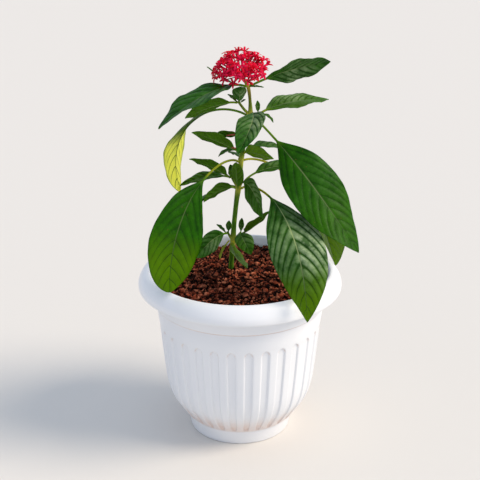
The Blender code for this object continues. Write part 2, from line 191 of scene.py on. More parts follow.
# Side shoots: the row of the stem they leave, their end in mm, and their radius there.
SHOOTS = {
    "low_left": ("low", (-12, 17, 203), 1.2),
    "low_right": ("low", (0, 16, 203), 1.2),
    "mid_left": ("middle", (-8, 10, 264), 1.2),
    "mid_right": ("middle", (2, 8.5, 260), 1.2),
    "top_left": ("fork", (-1, 4, 341), 1.2),
    "top_right": ("fork", (18, 5, 330), 1.2),
}
# Dry reddish stubs of old side shoots: the row of the stem they leave, and their end in mm.
STUBS = {
    "twig": (-13, 5, 308),
    "crowded": (-8, 2, 297),
    "low": (-17, 20, 178),
}
# The nodes, where the stem is swollen and pairs of leaves grow, and the turns of the stipules between
# them, in degrees.
SWOLLEN = ("low", "middle", "upper", "fork", "collar")
STIPULE_TURNS = (40, 220)
# Heights in mm between which the flower's stalk turns ruddy.
RUDDY = (328, 352)

# Leaves. Angles are degrees and lengths mm: azimuth is where a leaf points (0 right, 90 back), sway
# its change of azimuth on the way to the tip, rise and droop its slope at each end, petiole the share
# of the length that is stalk, roll the turn of the blade about its midrib and twist the change in roll.
Leaf = collections.namedtuple("Leaf", "spot azimuth sway rise droop length width petiole roll twist")
LEAVES = {
    "leaf_big_right": Leaf("fork", -45, 25, -20, -55, 168, 52, 0.20, -75, 60),
    "leaf_front_right": Leaf("middle", -48, -33, 45, -75, 179, 52, 0.25, 25, -80),
    "leaf_front_left": Leaf("upper", -130, 0, 45, -90, 170, 54, 0.30, 60, 10),
    "leaf_yellow_left": Leaf("fork", 170, -30, 30, -115, 142, 44, 0.26, 0, 10),
    "leaf_back_right": Leaf("upper", 44, -35, 8, -78, 190, 58, 0.30, 15, 0),
    "leaf_back_left": Leaf("middle", 150, 10, 15, -80, 96, 24, 0.30, 10, 0),
    "leaf_upper_left": Leaf("collar", -135, -25, 35, -40, 105, 38, 0.15, 5, -15),
    "leaf_upper_right": Leaf("collar", 15, 0, 29, 5, 82, 28, 0.20, 50, 0),
    "leaf_shoot_left": Leaf("top_left", -155, -5, 20, -25, 55, 22, 0.14, -45, -10),
    "leaf_shoot_right": Leaf("top_right", 35, -5, 25, -10, 82, 33, 0.08, -15, 15),
    "leaf_front_centre": Leaf("fork", -80, -35, 45, -30, 100, 26, 0.12, -15, 15),
    "leaf_crowded_left": Leaf("crowded", -155, 0, 45, 20, 57, 19, 0.12, -45, 5),
    "leaf_crowded_small": Leaf("crowded", 165, 10, 55, -50, 24, 8, 0.20, 15, 0),
    "leaf_crowded_front": Leaf("crowded", -65, 20, 35, -5, 50, 18, 0.08, 70, -15),
    "leaf_crowded_back": Leaf("crowded", 40, -20, 40, -30, 48, 16, 0.20, -10, 0),
    "leaf_middle_upper_left": Leaf("mid_left", -150, -10, 52, 20, 50, 20, 0.10, -35, 5),
    "leaf_middle_back_left": Leaf("mid_left", 160, 5, 15, -30, 56, 19, 0.12, 15, 0),
    "leaf_middle_left": Leaf("middle", -145, 0, 40, -35, 40, 14, 0.12, -60, 0),
    "leaf_middle_back_right": Leaf("mid_right", 20, 0, 55, -10, 55, 20, 0.25, -10, 0),
    "leaf_middle_front": Leaf("middle", -95, 0, 60, 62, 38, 14, 0.10, 30, -10),
    "leaf_middle_right": Leaf("mid_right", -68, 0, 35, -50, 58, 18, 0.06, -65, -20),
    "leaf_low_curled": Leaf("low_right", -42, 0, 30, 50, 48, 18, 0.12, 10, -10),
    "leaf_low_right": Leaf("low_right", -88, 35, 45, -45, 38, 12, 0.12, -15, 0),
    "leaf_low_left": Leaf("low_left", -125, 5, 25, -25, 56, 20, 0.10, 70, 0),
    "leaf_low_front": Leaf("low", -90, 30, -20, 0, 56, 18, 0.06, 35, 0),
    "leaf_low_yellow": Leaf("low", 200, 0, -30, -75, 22, 9, 0.15, -40, 0),
    "leaf_low_bud_left": Leaf("low_left", 165, 0, 50, 35, 13, 7, 0.10, 0, 0),
    "leaf_low_bud_front": Leaf("low_left", 80, 0, 65, 75, 12, 6, 0.10, 0, 0),
    "leaf_low_bud_right": Leaf("low_right", 70, 0, 70, 80, 15, 6, 0.10, 0, 0),
    "leaf_middle_bud_left": Leaf("mid_left", -107, 0, 75, 60, 11, 5, 0.10, 0, 0),
    "leaf_middle_bud_top": Leaf("mid_left", -40, 0, 75, 80, 15, 6, 0.10, 0, 0),
    "leaf_middle_bud_back": Leaf("middle", 110, 0, 60, 30, 26, 10, 0.12, 0, 0),
    "leaf_upper_back": Leaf("upper", 100, 0, 30, -30, 44, 16, 0.12, 0, 0),
    "leaf_twig_left": Leaf("twig", 175, 0, 15, -10, 30, 10, 0.12, -60, 0),
    "leaf_top_upright": Leaf("top_left", -80, 0, 75, 65, 19, 14, 0.12, 0, 0),
    "leaf_top_bud_left": Leaf("top_left", 145, 0, 50, 20, 13, 6, 0.10, 0, 0),
    "leaf_top_bud_right": Leaf("top_left", 30, 0, 35, 20, 6, 3, 0.10, 0, 0),
    "leaf_right_upright": Leaf("top_right", 110, 0, 75, 85, 12, 5, 0.10, 0, 0),
    "leaf_right_droop": Leaf("top_right", -15, 0, 25, -60, 16, 7, 0.10, 0, 0),
    "leaf_collar_bract": Leaf("collar", -35, 0, 20, 0, 16, 6, 0.10, 20, 0),
    "leaf_collar_back": Leaf("collar", 155, 0, -10, 35, 44, 10, 0.30, -20, 0),
}
# A leaf's slope changes with this power of the share of its length: below 1 it bends near its stalk.
BEND = 0.5
BENDS_LATER = {"leaf_yellow_left": 0.8}
# The share of its length at which a blade is broadest, and how fast it narrows from there.
BELLY = 0.5
BROADEST_LATER = {"leaf_front_left": 0.6}
BLADE_POWER = 1.75
# These blades are broader than their plain solids, by these shares.
BROADER = {
    "leaf_upper_right": 1.25, "leaf_back_right": 1.2, "leaf_upper_left": 1.12, "leaf_middle_left": 1.4,
    "leaf_middle_right": 1.3, "leaf_low_right": 1.5, "leaf_low_curled": 1.3, "leaf_low_yellow": 1.3,
}
# These blades are twisted half round on their stalks: their upper faces lie where the solids' lower
# ones do.
TURNED_OVER = {"leaf_upper_right", "leaf_top_upright"}
PETIOLE_RADIUS = 1.1

# What sets one leaf's looks apart: fold is the angle of each half in degrees, wave how far the margin
# ripples in mm, depth how deep the veins sink beside the usual, pale how light the midrib and veins
# are, bloom how strongly a painted sheen, standing for the sky's reflection, greys the pillows
# between the veins, and fade how yellow the blade turns, from which share of its length.
Looks = collections.namedtuple("Looks", "fold wave depth pale bloom fade fades_from")
USUAL_LOOKS = Looks(14, 0.9, 2.4, 0.7, 0.4, 0.05, 0.0)
LOOKS = {
    "leaf_big_right": Looks(2, 1.6, 1.1, 0.32, 0.06, 0.03, 0.45),
    "leaf_front_right": Looks(-4, 1.2, 2.6, 0.85, 1.35, 0.34, 0.6),
    "leaf_front_left": Looks(8, 1.2, 1.3, 0.2, 0.0, 0.2, 0.5),
    "leaf_yellow_left": Looks(12, 1.2, 0.7, 0.0, 0.0, 1.0, 0.25),
    "leaf_back_right": Looks(12, 1.0, 0.6, 0.3, 0.0, 0.34, 0.3),
    "leaf_upper_left": Looks(12, 1.5, 1.0, 0.3, 0.15, 0.0, 0.0),
    "leaf_upper_right": Looks(12, 1.3, 1.8, 0.5, 0.9, 0.0, 0.0),
    "leaf_shoot_right": Looks(10, 1.1, 1.8, 0.4, 0.9, 0.1, 0.0),
    "leaf_front_centre": Looks(16, 1.0, 2.0, 1.0, 0.9, 0.0, 0.0),
    "leaf_crowded_front": Looks(14, 1.0, 0.7, 0.3, 0.0, 0.25, 0.0),
    "leaf_low_front": Looks(16, 1.0, 0.7, 0.3, 0.0, 0.3, 0.0),
    "leaf_low_yellow": Looks(10, 0.6, 0.5, 0.3, 0.0, 0.6, 0.0),
    "leaf_top_upright": Looks(-26, 0.5, 1.2, 0.8, 0.8, 0.0, 0.0),
    "leaf_low_left": Looks(14, 0.9, 2.2, 0.6, 0.5, 0.0, 0.0),
}

# Flower head: a dome of star florets on thin tubes, gathered round a knob.
DOME_CENTRE = Vector((1, 1, 368))
DOME_RADIUS = 28
KNOB_RADIUS = 5.5
# Heights in mm beside the dome's centre between which the painted shade on the lowest florets fades out.
LOW_SHADE_HEIGHTS = (-8, 14)


def linear(code):
    """The linear colour of an sRGB hex code such as "#8a2be2"."""
    parts = [int(code[k:k + 2], 16) / 255 for k in (1, 3, 5)]
    return (*(p / 12.92 if p <= 0.04045 else ((p + 0.055) / 1.055) ** 2.4 for p in parts), 1.0)


def add_node(tree, kind, inputs=(), **settings):
    """Adds a node with its settings, and fills its inputs with values, sockets or other nodes.

    Inputs go by name, or by their order among those that the settings leave in use. A node given as
    an input stands for its first output in use. Shader kinds are written without "ShaderNode".
    """
    made = tree.nodes.new(kind if "Node" in kind else "ShaderNode" + kind)
    for name, value in settings.items():
        setattr(made, name, value)
    in_use = [socket for socket in made.inputs if socket.enabled]
    for key, value in inputs.items() if isinstance(inputs, dict) else enumerate(inputs):
        socket = made.inputs[key] if isinstance(key, str) else in_use[key]
        if isinstance(value, bpy.types.Node):
            value = next(output for output in value.outputs if output.enabled)
        if isinstance(value, bpy.types.NodeSocket):
            tree.links.new(value, socket)
        else:
            socket.default_value = value
    return made


def new_material(name):
    """A material, its empty node tree and the Object coordinates in it."""
    made = bpy.data.materials.new(name)
    made.use_nodes = True
    made.node_tree.nodes.clear()
    return made, made.node_tree, add_node(made.node_tree, "TexCoord").outputs["Object"]


def set_ramp(ramp_node, stops):
    """Sets a Color Ramp's stops from (position, colour) pairs; a colour is a hex code or already linear."""
    ramp = ramp_node.color_ramp
    while len(ramp.elements) > 1:
        ramp.elements.remove(ramp.elements[-1])
    ramp.elements[0].position = stops[0][0]
    for k, (position, colour) in enumerate(stops):
        stop = ramp.elements.new(position) if k else ramp.elements[0]
        stop.color = linear(colour) if isinstance(colour, str) else colour
    return ramp_node


def spoke(turn, reach=1.0, height=0.0):
    """The point at a turn about Z in radians, a distance from Z and a height."""
    return Vector((reach * math.cos(turn), reach * math.sin(turn), height))


def new_object(name, data):
    """An object of the scene, at the origin."""
    made = bpy.data.objects.new(name, data)
    bpy.context.scene.collection.objects.link(made)
    return made


def as_mesh(bm, name):
    """A mesh from a bmesh, which is freed."""
    mesh = bpy.data.meshes.new(name)
    bm.to_mesh(mesh)
    bm.free()
    return mesh


def mark_points(mesh, marks):
    """Stores named lists of values, one value for each point of the mesh."""
    for name, values in marks.items():
        mesh.attributes.new(name, "FLOAT", "POINT").data.foreach_set("value", values)


def mesh_piece(name, verts, faces, material, smooth=180.0):
    """A mesh object from vertices in mm and faces, sharp only past the angle `smooth` in degrees."""
    mesh = bpy.data.meshes.new(name)
    mesh.from_pydata([tuple(float(c) * MM for c in v) for v in verts], [], faces)
    mesh.update()
    mesh.materials.append(material)
    mesh.shade_smooth()
    if smooth < 180:
        mesh.set_sharp_from_angle(angle=math.radians(smooth))
    return new_object(name, mesh)


def face_outwards(mesh, merge=False):
    """Turns every face outwards, after doubled points are merged where that is asked."""
    bm = bmesh.new()
    bm.from_mesh(mesh)
    if merge:
        bmesh.ops.remove_doubles(bm, verts=bm.verts, dist=0.001 * MM)
    bmesh.ops.recalc_face_normals(bm, faces=bm.faces)
    bm.to_mesh(mesh)
    bm.free()


def made_plain(piece):
    """The piece with its modifiers turned into a plain mesh."""
    bpy.context.view_layer.update()
    graph = bpy.context.evaluated_depsgraph_get()
    mesh = bpy.data.meshes.new_from_object(piece.evaluated_get(graph), depsgraph=graph)
    old = piece.data
    piece.modifiers.clear()
    piece.data = mesh
    mesh.name = piece.name
    bpy.data.meshes.remove(old)
    return piece


def finish_piece(piece, slot, *nodes):
    """Rides the piece on the plant's one body, names its finish and hides the CAD nodes it stands for."""
    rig.ride(piece, BODY)
    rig.slot(piece, slot)
    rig.replaces(piece, *nodes)
    return piece


def smooth_points(points, each):
    """Points on a smooth curve through the given ones, with `each` steps between neighbours."""
    ends = [points[0] * 2 - points[1]] + points + [points[-1] * 2 - points[-2]]
    found = []
    for a, b, c, d in zip(ends, ends[1:], ends[2:], ends[3:]):
        for k in range(each):
            t = k / each
            found.append(0.5 * (2 * b + (c - a) * t + (2 * a - 5 * b + 4 * c - d) * t * t
                                + (3 * b - a - 3 * c + d) * t ** 3))
    return found + [points[-1]]


def band_faces(rows, around):
    """Quads between neighbouring rings of points."""
    return [(r + k, r + around + k, r + around + (k + 1) % around, r + (k + 1) % around)
            for r in range(0, (rows - 1) * around, around) for k in range(around)]


def geometry_tree(name, inputs):
    """A Geometry Nodes tree and its inputs: Geometry, those named here by their kinds, and Material."""
    tree = bpy.data.node_groups.new(name, "GeometryNodeTree")
    tree.interface.new_socket("Geometry", in_out="OUTPUT", socket_type="NodeSocketGeometry")
    for kind, labels in {"Geometry": ["Geometry"], **inputs, "Material": ["Material"]}.items():
        for label in labels:
            tree.interface.new_socket(label, in_out="INPUT", socket_type=f"NodeSocket{kind}")
    return tree, add_node(tree, "NodeGroupInput").outputs


def end_tree(tree, geometry):
    """Ends a tree in Realize Instances and Set Material."""
    real = add_node(tree, "GeometryNodeRealizeInstances", (geometry,))
    given = tree.nodes["Group Input"].outputs["Material"]
    dressed = add_node(tree, "GeometryNodeSetMaterial", {"Geometry": real, "Material": given})
    add_node(tree, "NodeGroupOutput", (dressed,))


def grow(piece, tree, values):
    """Runs a Geometry Nodes tree on the piece with the given inputs and keeps the plain result."""
    modifier = piece.modifiers.new(tree.name, "NODES")
    modifier.node_group = tree
    for item in tree.interface.items_tree:
        if item.in_out == "INPUT" and item.name in values:
            modifier[item.identifier] = values[item.name]
    return made_plain(piece)


# Settings


class PotSettings(bpy.types.PropertyGroup):
    flutes: bpy.props.IntProperty(name="Flutes", description="Flutes round the body", default=30, min=3)
    flute_depth: bpy.props.FloatProperty(
        name="Flute depth", description="How far a flute is sunk", default=1.5 * MM, unit="LENGTH")
    flute_width: bpy.props.FloatProperty(
        name="Flute width", description="Share of its sector that a flute takes", default=0.54,
        subtype="FACTOR", min=0, max=1)
    colour: bpy.props.FloatVectorProperty(
        name="Colour", description="Colour of the moulded plastic", default=linear("#f2f3f5"),
        subtype="COLOR", size=4, min=0, max=1)


class SoilSettings(bpy.types.PropertyGroup):
    crumbs: bpy.props.IntProperty(name="Crumbs", description="Most crumbs of peat", default=2800, min=0)
    crumb_size: bpy.props.FloatProperty(
        name="Crumb size", description="Radius of the usual crumb", default=2.2 * MM, unit="LENGTH")
    lumps: bpy.props.IntProperty(name="Lumps", description="Most larger lumps", default=260, min=0)
    fibres: bpy.props.IntProperty(name="Fibres", description="Most coir fibres", default=60, min=0)
    seed: bpy.props.IntProperty(name="Seed", description="Arrangement of the crumbs", default=7)


class LeafSettings(bpy.types.PropertyGroup):
    vein_spacing: bpy.props.FloatProperty(
        name="Vein spacing", description="Distance between side veins on a large leaf", default=13 * MM,
        unit="LENGTH")
    vein_depth: bpy.props.FloatProperty(
        name="Vein depth", description="How far the side veins sink", default=0.8 * MM, unit="LENGTH")
    thickness: bpy.props.FloatProperty(
        name="Thickness", description="Thickness of a blade", default=0.45 * MM, unit="LENGTH")
    deep_green: bpy.props.FloatVectorProperty(
        name="Deep green", description="Darkest green of a blade", default=linear("#0e3d02"),
        subtype="COLOR", size=4, min=0, max=1)
    bright_green: bpy.props.FloatVectorProperty(
        name="Bright green", description="Lightest green of a blade", default=linear("#2c6a00"),
        subtype="COLOR", size=4, min=0, max=1)
    yellow: bpy.props.FloatVectorProperty(
        name="Yellow", description="Colour of a fading blade", default=linear("#ffff86"),
        subtype="COLOR", size=4, min=0, max=1)


class FlowerSettings(bpy.types.PropertyGroup):
    florets: bpy.props.IntProperty(name="Florets", description="Florets in the head", default=84, min=1)
    petal_length: bpy.props.FloatProperty(
        name="Petal length", description="Length of a petal", default=6 * MM, unit="LENGTH")
    petal_width: bpy.props.FloatProperty(
        name="Petal width", description="Width of a petal", default=2.3 * MM, unit="LENGTH")
    tilt: bpy.props.FloatProperty(
        name="Lowest tilt", description="Tilt of the lowest florets from the top of the head",
        default=math.radians(78), subtype="ANGLE")
    seed: bpy.props.IntProperty(name="Seed", description="Arrangement of the florets", default=3)


class StageSettings(bpy.types.PropertyGroup):
    lens: bpy.props.FloatProperty(name="Lens", description="Focal length", default=90, unit="CAMERA")
    tilt: bpy.props.FloatProperty(
        name="Camera tilt", description="Turn of the camera up from straight down",
        default=math.radians(68.45), subtype="ANGLE")
    sun: bpy.props.FloatProperty(name="Sun", description="Strength of the key light", default=2.7, min=0)
    sky: bpy.props.FloatProperty(
        name="Sky", description="Strength of the soft light all round", default=0.82, min=0)


# Materials


def moulded_polypropylene(colour):
    """Injection-moulded polypropylene: white, softly glossy, with faint flow marks, a little dust, and painted warm
    bounce light and shade low down and below the lip.
    """
    made, tree, place = new_material("moulded_polypropylene")
    recess = add_node(tree, "Attribute", attribute_name="recess").outputs["Fac"]
    corner = add_node(tree, "Attribute", attribute_name="corner").outputs["Fac"]
    # Flow marks, about 45 mm across.
    flow = add_node(tree, "TexNoise", (place, 22.0, 3.0))
    # Skin grain from the mould's spark-eroded face. It is drawn 0.7 mm wide, because the real grain of
    # about 0.1 mm is too fine to show.
    grain = add_node(tree, "TexNoise", (place, 1500.0, 2.0))
    # Specks of dust, about 4 mm apart.
    specks = add_node(tree, "TexNoise", (place, 260.0, 4.0))
    height = add_node(tree, "SeparateXYZ", (place,)).outputs["Z"]
    # Red dust and painted warm bounce light gather above the foot, mostly in the flutes, and thin out upwards.
    low = add_node(tree, "MapRange", (height, DUST_AND_BOUNCE_THINS[0] * MM, DUST_AND_BOUNCE_THINS[1] * MM, 1.0, 0.0),
                   interpolation_type="SMOOTHSTEP")
    above = add_node(tree, "MapRange", (height, DUST_AND_BOUNCE_SETS_IN[0] * MM, DUST_AND_BOUNCE_SETS_IN[1] * MM),
                     interpolation_type="SMOOTHSTEP")
    band = add_node(tree, "Math", (low, above), operation="MULTIPLY")
    held = add_node(tree, "Math", (recess, 0.25, 0.45), operation="MULTIPLY_ADD")
    dust_and_bounce = add_node(tree, "Math", (band, held), operation="MULTIPLY")
    # Under each flute's arch the tint is partly caught dust and partly painted shade.
    dust_bounce_and_arch_shade = add_node(tree, "Math", (corner, 0.6, dust_and_bounce), operation="MULTIPLY_ADD")
    # A thin line of painted shade, in the dust colour, lies in the step below the collar.
    off_step = add_node(tree, "Math", (height, COLLAR_STEP * MM), operation="SUBTRACT")
    off_line = add_node(tree, "Math", (off_step,), operation="ABSOLUTE")
    step_shade = add_node(tree, "MapRange", (off_line, 0.4 * MM, 1.1 * MM, 0.6, 0.0))
    with_step_shade = add_node(tree, "Math", (dust_bounce_and_arch_shade, step_shade), operation="ADD")
    patchy = add_node(tree, "MapRange", (specks, 0.3, 0.7, 0.6, 1.0))
    dust_and_shade = add_node(tree, "Math", (with_step_shade, patchy), operation="MULTIPLY", use_clamp=True)
    base = add_node(tree, "Mix", (flow, colour, linear("#e9ebef")), data_type="RGBA")
    # The dust colour paints the real dust as well as the painted bounce light and shade.
    dusted_and_shaded = add_node(tree, "Mix", (dust_and_shade, base, linear("#dcb49c")), data_type="RGBA")
    rough = add_node(tree, "MapRange", (flow, 0.0, 1.0, 0.24, 0.38))
    bump = add_node(tree, "Bump", {"Height": grain, "Strength": 0.06, "Distance": 0.05 * MM})
    wavy = add_node(tree, "Bump", {"Height": flow, "Strength": 0.12, "Distance": 0.6 * MM, "Normal": bump})
    shader = add_node(tree, "BsdfPrincipled",
                      {"Base Color": dusted_and_shaded, "Roughness": rough, "IOR": 1.49, "Normal": wavy})
    add_node(tree, "OutputMaterial", {"Surface": shader})
    return made


def coco_peat():
    """Moist ground coconut pith: dark red-brown crumbs, matte, each a little different in tone, with painted shade on
    their sides and on the bed between them.
    """
    made, tree, place = new_material("coco_peat")
    # Tone changes from crumb to crumb, about every 3 mm.
    tone = add_node(tree, "TexVoronoi", (place, 330.0))
    # Grains of pith in a crumb, about 0.6 mm wide.
    pith = add_node(tree, "TexNoise", (place, 1800.0, 4.0))
    level = add_node(tree, "SeparateColor", (tone.outputs["Color"],))
    mixed = add_node(tree, "Math", (level.outputs["Red"], pith), operation="MULTIPLY")
    ramp = set_ramp(add_node(tree, "ValToRGB", (mixed,)),
                    [(0.02, "#180603"), (0.14, "#4e1c0e"), (0.32, "#a84c30"), (0.55, "#e28e6a")])
    # Painted light and shade: the tops of the crumbs are painted lighter, and their sides and the bed
    # between them are painted in shade, nearly black.
    facing_up = add_node(tree, "Attribute", attribute_name="facing_up").outputs["Fac"]
    dry = add_node(tree, "MapRange", (facing_up, 0.2, 0.95, 0.04, 1.0))
    # Moister patches, about 20 mm across.
    moist = add_node(tree, "TexNoise", (place, 50.0, 3.0))
    drier = add_node(tree, "MapRange", (moist, 0.4, 0.6, 0.55, 1.15))
    lightness = add_node(tree, "Math", (dry, drier), operation="MULTIPLY", use_clamp=True)
    tinted = add_node(tree, "Mix", (lightness, linear("#0a0201"), ramp), data_type="RGBA")
    bump = add_node(tree, "Bump", {"Height": pith, "Strength": 0.6, "Distance": 0.4 * MM})
    shader = add_node(tree, "BsdfPrincipled",
                      {"Base Color": tinted, "Roughness": 0.8, "IOR": 1.45, "Normal": bump,
                       "Specular IOR Level": 0.1})
    add_node(tree, "OutputMaterial", {"Surface": shader})
    return made


def coir_fibre():
    """Coir: thin golden-brown fibres that lie in the peat."""
    made, tree, place = new_material("coir_fibre")
    # The colour of a fibre changes about every 7 mm.
    streak = add_node(tree, "TexNoise", (place, 140.0))
    ramp = set_ramp(add_node(tree, "ValToRGB", (streak,)),
                    [(0.3, "#6e3a22"), (0.6, "#a8673d"), (0.8, "#c48f5c")])
    shader = add_node(tree, "BsdfPrincipled", {"Base Color": ramp, "Roughness": 0.6})
    add_node(tree, "OutputMaterial", {"Surface": shader})
    return made


def leaf_blade(settings):
    """A living pentas blade: softly glossy green above with sunk veins, painted light, shade and sheen on the pillows
    between them, paler below, lit through.
    """
    made, tree, place = new_material("leaf_blade")
    share = add_node(tree, "SeparateXYZ", (add_node(tree, "UVMap", uv_map="blade"),))
    phase, fade, under, bloom, pale, stalk = (
        add_node(tree, "Attribute", attribute_name=name).outputs["Fac"]
        for name in ("vein_phase", "fade", "under", "bloom", "pale_rib", "stalk"))

    # How far across from the midrib, 0 to 1, and how far from the nearest side vein, 0 to 0.5.
    centred = add_node(tree, "Math", (share.outputs["Y"], 2.0, -1.0), operation="MULTIPLY_ADD")
    across = add_node(tree, "Math", (centred,), operation="ABSOLUTE")
    apart = add_node(tree, "Math", (phase, 0.5), operation="PINGPONG")
    vein = add_node(tree, "MapRange", (apart, 0.012, 0.055, 1.0, 0.0), interpolation_type="SMOOTHSTEP")
    inner = add_node(tree, "MapRange", (across, 0.6, 0.98, 1.0, 0.0))
    side_vein = add_node(tree, "Math", (vein, inner), operation="MULTIPLY")
    # The midrib thins out towards the tip.
    rib_width = add_node(tree, "Math", (share.outputs["X"], -0.035, 0.05), operation="MULTIPLY_ADD")
    midrib = add_node(tree, "MapRange", (across, 0.006, rib_width, 1.0, 0.0),
                      interpolation_type="SMOOTHSTEP")

    # Net of small veins between the side veins, about 3 mm apart.
    net = add_node(tree, "TexVoronoi", (place, 340.0), feature="DISTANCE_TO_EDGE")
    mesh_of_veins = add_node(tree, "MapRange", (net, 0.0, 0.12))
    # Blotches about 11 mm across, a grain of about 1 mm, and specks about 9 mm apart.
    blotch = add_node(tree, "TexNoise", (place, 90.0, 7.0, 0.68))
    fine = add_node(tree, "TexNoise", (place, 900.0, 3.0))
    speck = add_node(tree, "TexVoronoi", (place, 110.0))

    greens = set_ramp(add_node(tree, "ValToRGB", (blotch,)),
                      [(0.35, settings.deep_green), (0.65, settings.bright_green)])
    netted = add_node(tree, "MapRange", (mesh_of_veins, 0.0, 1.0, 0.6, 0.0))
    crossed = add_node(tree, "Mix", (netted, greens, settings.deep_green), data_type="RGBA")
    # Painted light and shade on each pillow: lighter at its crown, darker towards the sunk veins.
    pillow_lit = add_node(tree, "Mix", (apart, crossed, settings.bright_green), data_type="RGBA")
    # A painted sheen, standing for the sky's reflection, greys the crown of each pillow.
    crown = add_node(tree, "MapRange", (apart, 0.04, 0.26))
    sheen_on_crowns = add_node(tree, "Math", (crown, bloom), operation="MULTIPLY")
    sheen_breaks = add_node(tree, "MapRange", (blotch, 0.38, 0.66, 0.1, 0.9))
    patchy = add_node(tree, "Math", (sheen_on_crowns, sheen_breaks), operation="MULTIPLY", use_clamp=True)
    with_painted_sheen = add_node(tree, "Mix", (patchy, pillow_lit, linear("#b4c898")), data_type="RGBA")
    lower = add_node(tree, "Mix", (0.45, greens, linear("#5f8a28")), data_type="RGBA")
    faces = add_node(tree, "Mix", (under, with_painted_sheen, lower), data_type="RGBA")
    # Yellowing is patchy, and keeps green along the veins and the margin.
    patch = add_node(tree, "Math", (blotch, 0.5, 0.75), operation="MULTIPLY_ADD")
    kept = add_node(tree, "Math", (side_vein, midrib), operation="MAXIMUM")
    edge = add_node(tree, "MapRange", (across, 0.86, 1.0, 0.0, 0.55))
    green_left = add_node(tree, "Math", (kept, edge), operation="MAXIMUM")
    spared = add_node(tree, "Math", (green_left, -0.8, 1.0), operation="MULTIPLY_ADD")
    turned = add_node(tree, "Math", (fade, patch), operation="MULTIPLY", use_clamp=True)
    yellowness = add_node(tree, "Math", (turned, spared), operation="MULTIPLY", use_clamp=True)
    # A blade turns through fresh yellow-green before it is yellow.
    fresh = add_node(tree, "MapRange", (yellowness, 0.0, 0.4))
    freshened = add_node(tree, "Mix", (fresh, faces, linear("#6c9600")), data_type="RGBA")
    gone = add_node(tree, "MapRange", (yellowness, 0.4))
    faded = add_node(tree, "Mix", (gone, freshened, settings.yellow), data_type="RGBA")
    slight = add_node(tree, "Math", (pale, 0.2), operation="MULTIPLY")
    vein_tone = add_node(tree, "Mix", (slight, linear("#0f2e04"), linear("#7f9f60")), data_type="RGBA")
    dull = add_node(tree, "Math", (side_vein, 0.55), operation="MULTIPLY")
    veined = add_node(tree, "Mix", (dull, faded, vein_tone), data_type="RGBA")
    # The midrib is palest near the stalk.
    paling = add_node(tree, "MapRange", (share.outputs["X"], 0.35, 0.95, 1.0, 0.1))
    pale_here = add_node(tree, "Math", (paling, pale), operation="MULTIPLY")
    rib_tone = add_node(tree, "Mix", (pale_here, linear("#1c440a"), linear("#b4c684")), data_type="RGBA")
    ribbed = add_node(tree, "Mix", (midrib, veined, rib_tone), data_type="RGBA")
    # A few small dry brown specks.
    spotted = add_node(tree, "MapRange", (speck, 0.03, 0.06, 0.7, 0.0))
    blemished = add_node(tree, "Mix", (spotted, ribbed, linear("#8a5a3a")), data_type="RGBA")
    stalk_tone = add_node(tree, "Mix", (fade, linear("#5f8a1c"), linear("#cfca3c")), data_type="RGBA")
    whole = add_node(tree, "Mix", (stalk, blemished, stalk_tone), data_type="RGBA")

    ridge = add_node(tree, "Math", (side_vein, midrib), operation="ADD")
    net_height = add_node(tree, "Math", (mesh_of_veins, 0.35), operation="MULTIPLY")
    cell_height = add_node(tree, "Math", (fine, 0.25, net_height), operation="MULTIPLY_ADD")
    # Veins sink on the upper face and stand out on the lower one.
    way = add_node(tree, "Math", (under, 1.6, -0.8), operation="MULTIPLY_ADD")
    relief = add_node(tree, "Math", (ridge, way, cell_height), operation="MULTIPLY_ADD")
    bump = add_node(tree, "Bump", {"Height": relief, "Strength": 0.55, "Distance": 0.35 * MM})
    gloss = add_node(tree, "MapRange", (fine, 0.0, 1.0, 0.3, 0.46))
    skin = add_node(tree, "BsdfPrincipled",
                    {"Base Color": whole, "Roughness": gloss, "IOR": 1.43, "Normal": bump,
                     "Specular IOR Level": 0.11})
    warmth = add_node(tree, "Math", (yellowness, -0.25, 0.25), operation="MULTIPLY_ADD")
    glow = add_node(tree, "Mix", (warmth, whole, linear("#86b010")), data_type="RGBA")
    through = add_node(tree, "BsdfTranslucent", (glow, bump))
    # A yellowed blade lets more light through than a green one.
    thin = add_node(tree, "Math", (yellowness, 0.4, 0.2), operation="MULTIPLY_ADD")
    lit = add_node(tree, "MixShader", (thin, skin, through))
    add_node(tree, "OutputMaterial", {"Surface": lit})
    return made


def stem_skin():
    """A soft green stem with fine ribs and hairs, yellower at its swollen nodes and red on dry stubs."""
    made, tree, place = new_material("stem_skin")
    node_near = add_node(tree, "Attribute", attribute_name="node_near").outputs["Fac"]
    dry = add_node(tree, "Attribute", attribute_name="dry").outputs["Fac"]
    # Fibres about 1.4 mm wide, drawn out eight times along the stem.
    stretch = add_node(tree, "Mapping", {"Vector": place, "Scale": (1.0, 1.0, 0.12)})
    fibre = add_node(tree, "TexNoise", (stretch, 700.0, 3.0))
    ramp = set_ramp(add_node(tree, "ValToRGB", (fibre,)),
                    [(0.3, "#2a5208"), (0.55, "#4a760e"), (0.75, "#7c9a20")])
    noded = add_node(tree, "Mix", (node_near, ramp, linear("#bcbc46")), data_type="RGBA")
    # The flower stalk has a ruddy tinge.
    height = add_node(tree, "SeparateXYZ", (place,)).outputs["Z"]
    ruddy = add_node(tree, "MapRange", (height, RUDDY[0] * MM, RUDDY[1] * MM, 0.0, 0.4))
    tinged = add_node(tree, "Mix", (ruddy, noded, linear("#8a4a1c")), data_type="RGBA")
    dried = add_node(tree, "Mix", (dry, tinged, linear("#8c3a33")), data_type="RGBA")
    bump = add_node(tree, "Bump", {"Height": fibre, "Strength": 0.4, "Distance": 0.25 * MM})
    shader = add_node(tree, "BsdfPrincipled",
                      {"Base Color": dried, "Roughness": 0.5, "IOR": 1.43, "Normal": bump,
                       "Sheen Weight": 0.08, "Sheen Roughness": 0.5, "Subsurface Weight": 0.15,
                       "Subsurface Scale": 0.002, "Specular IOR Level": 0.2})
    add_node(tree, "OutputMaterial", {"Surface": shader})
    return made


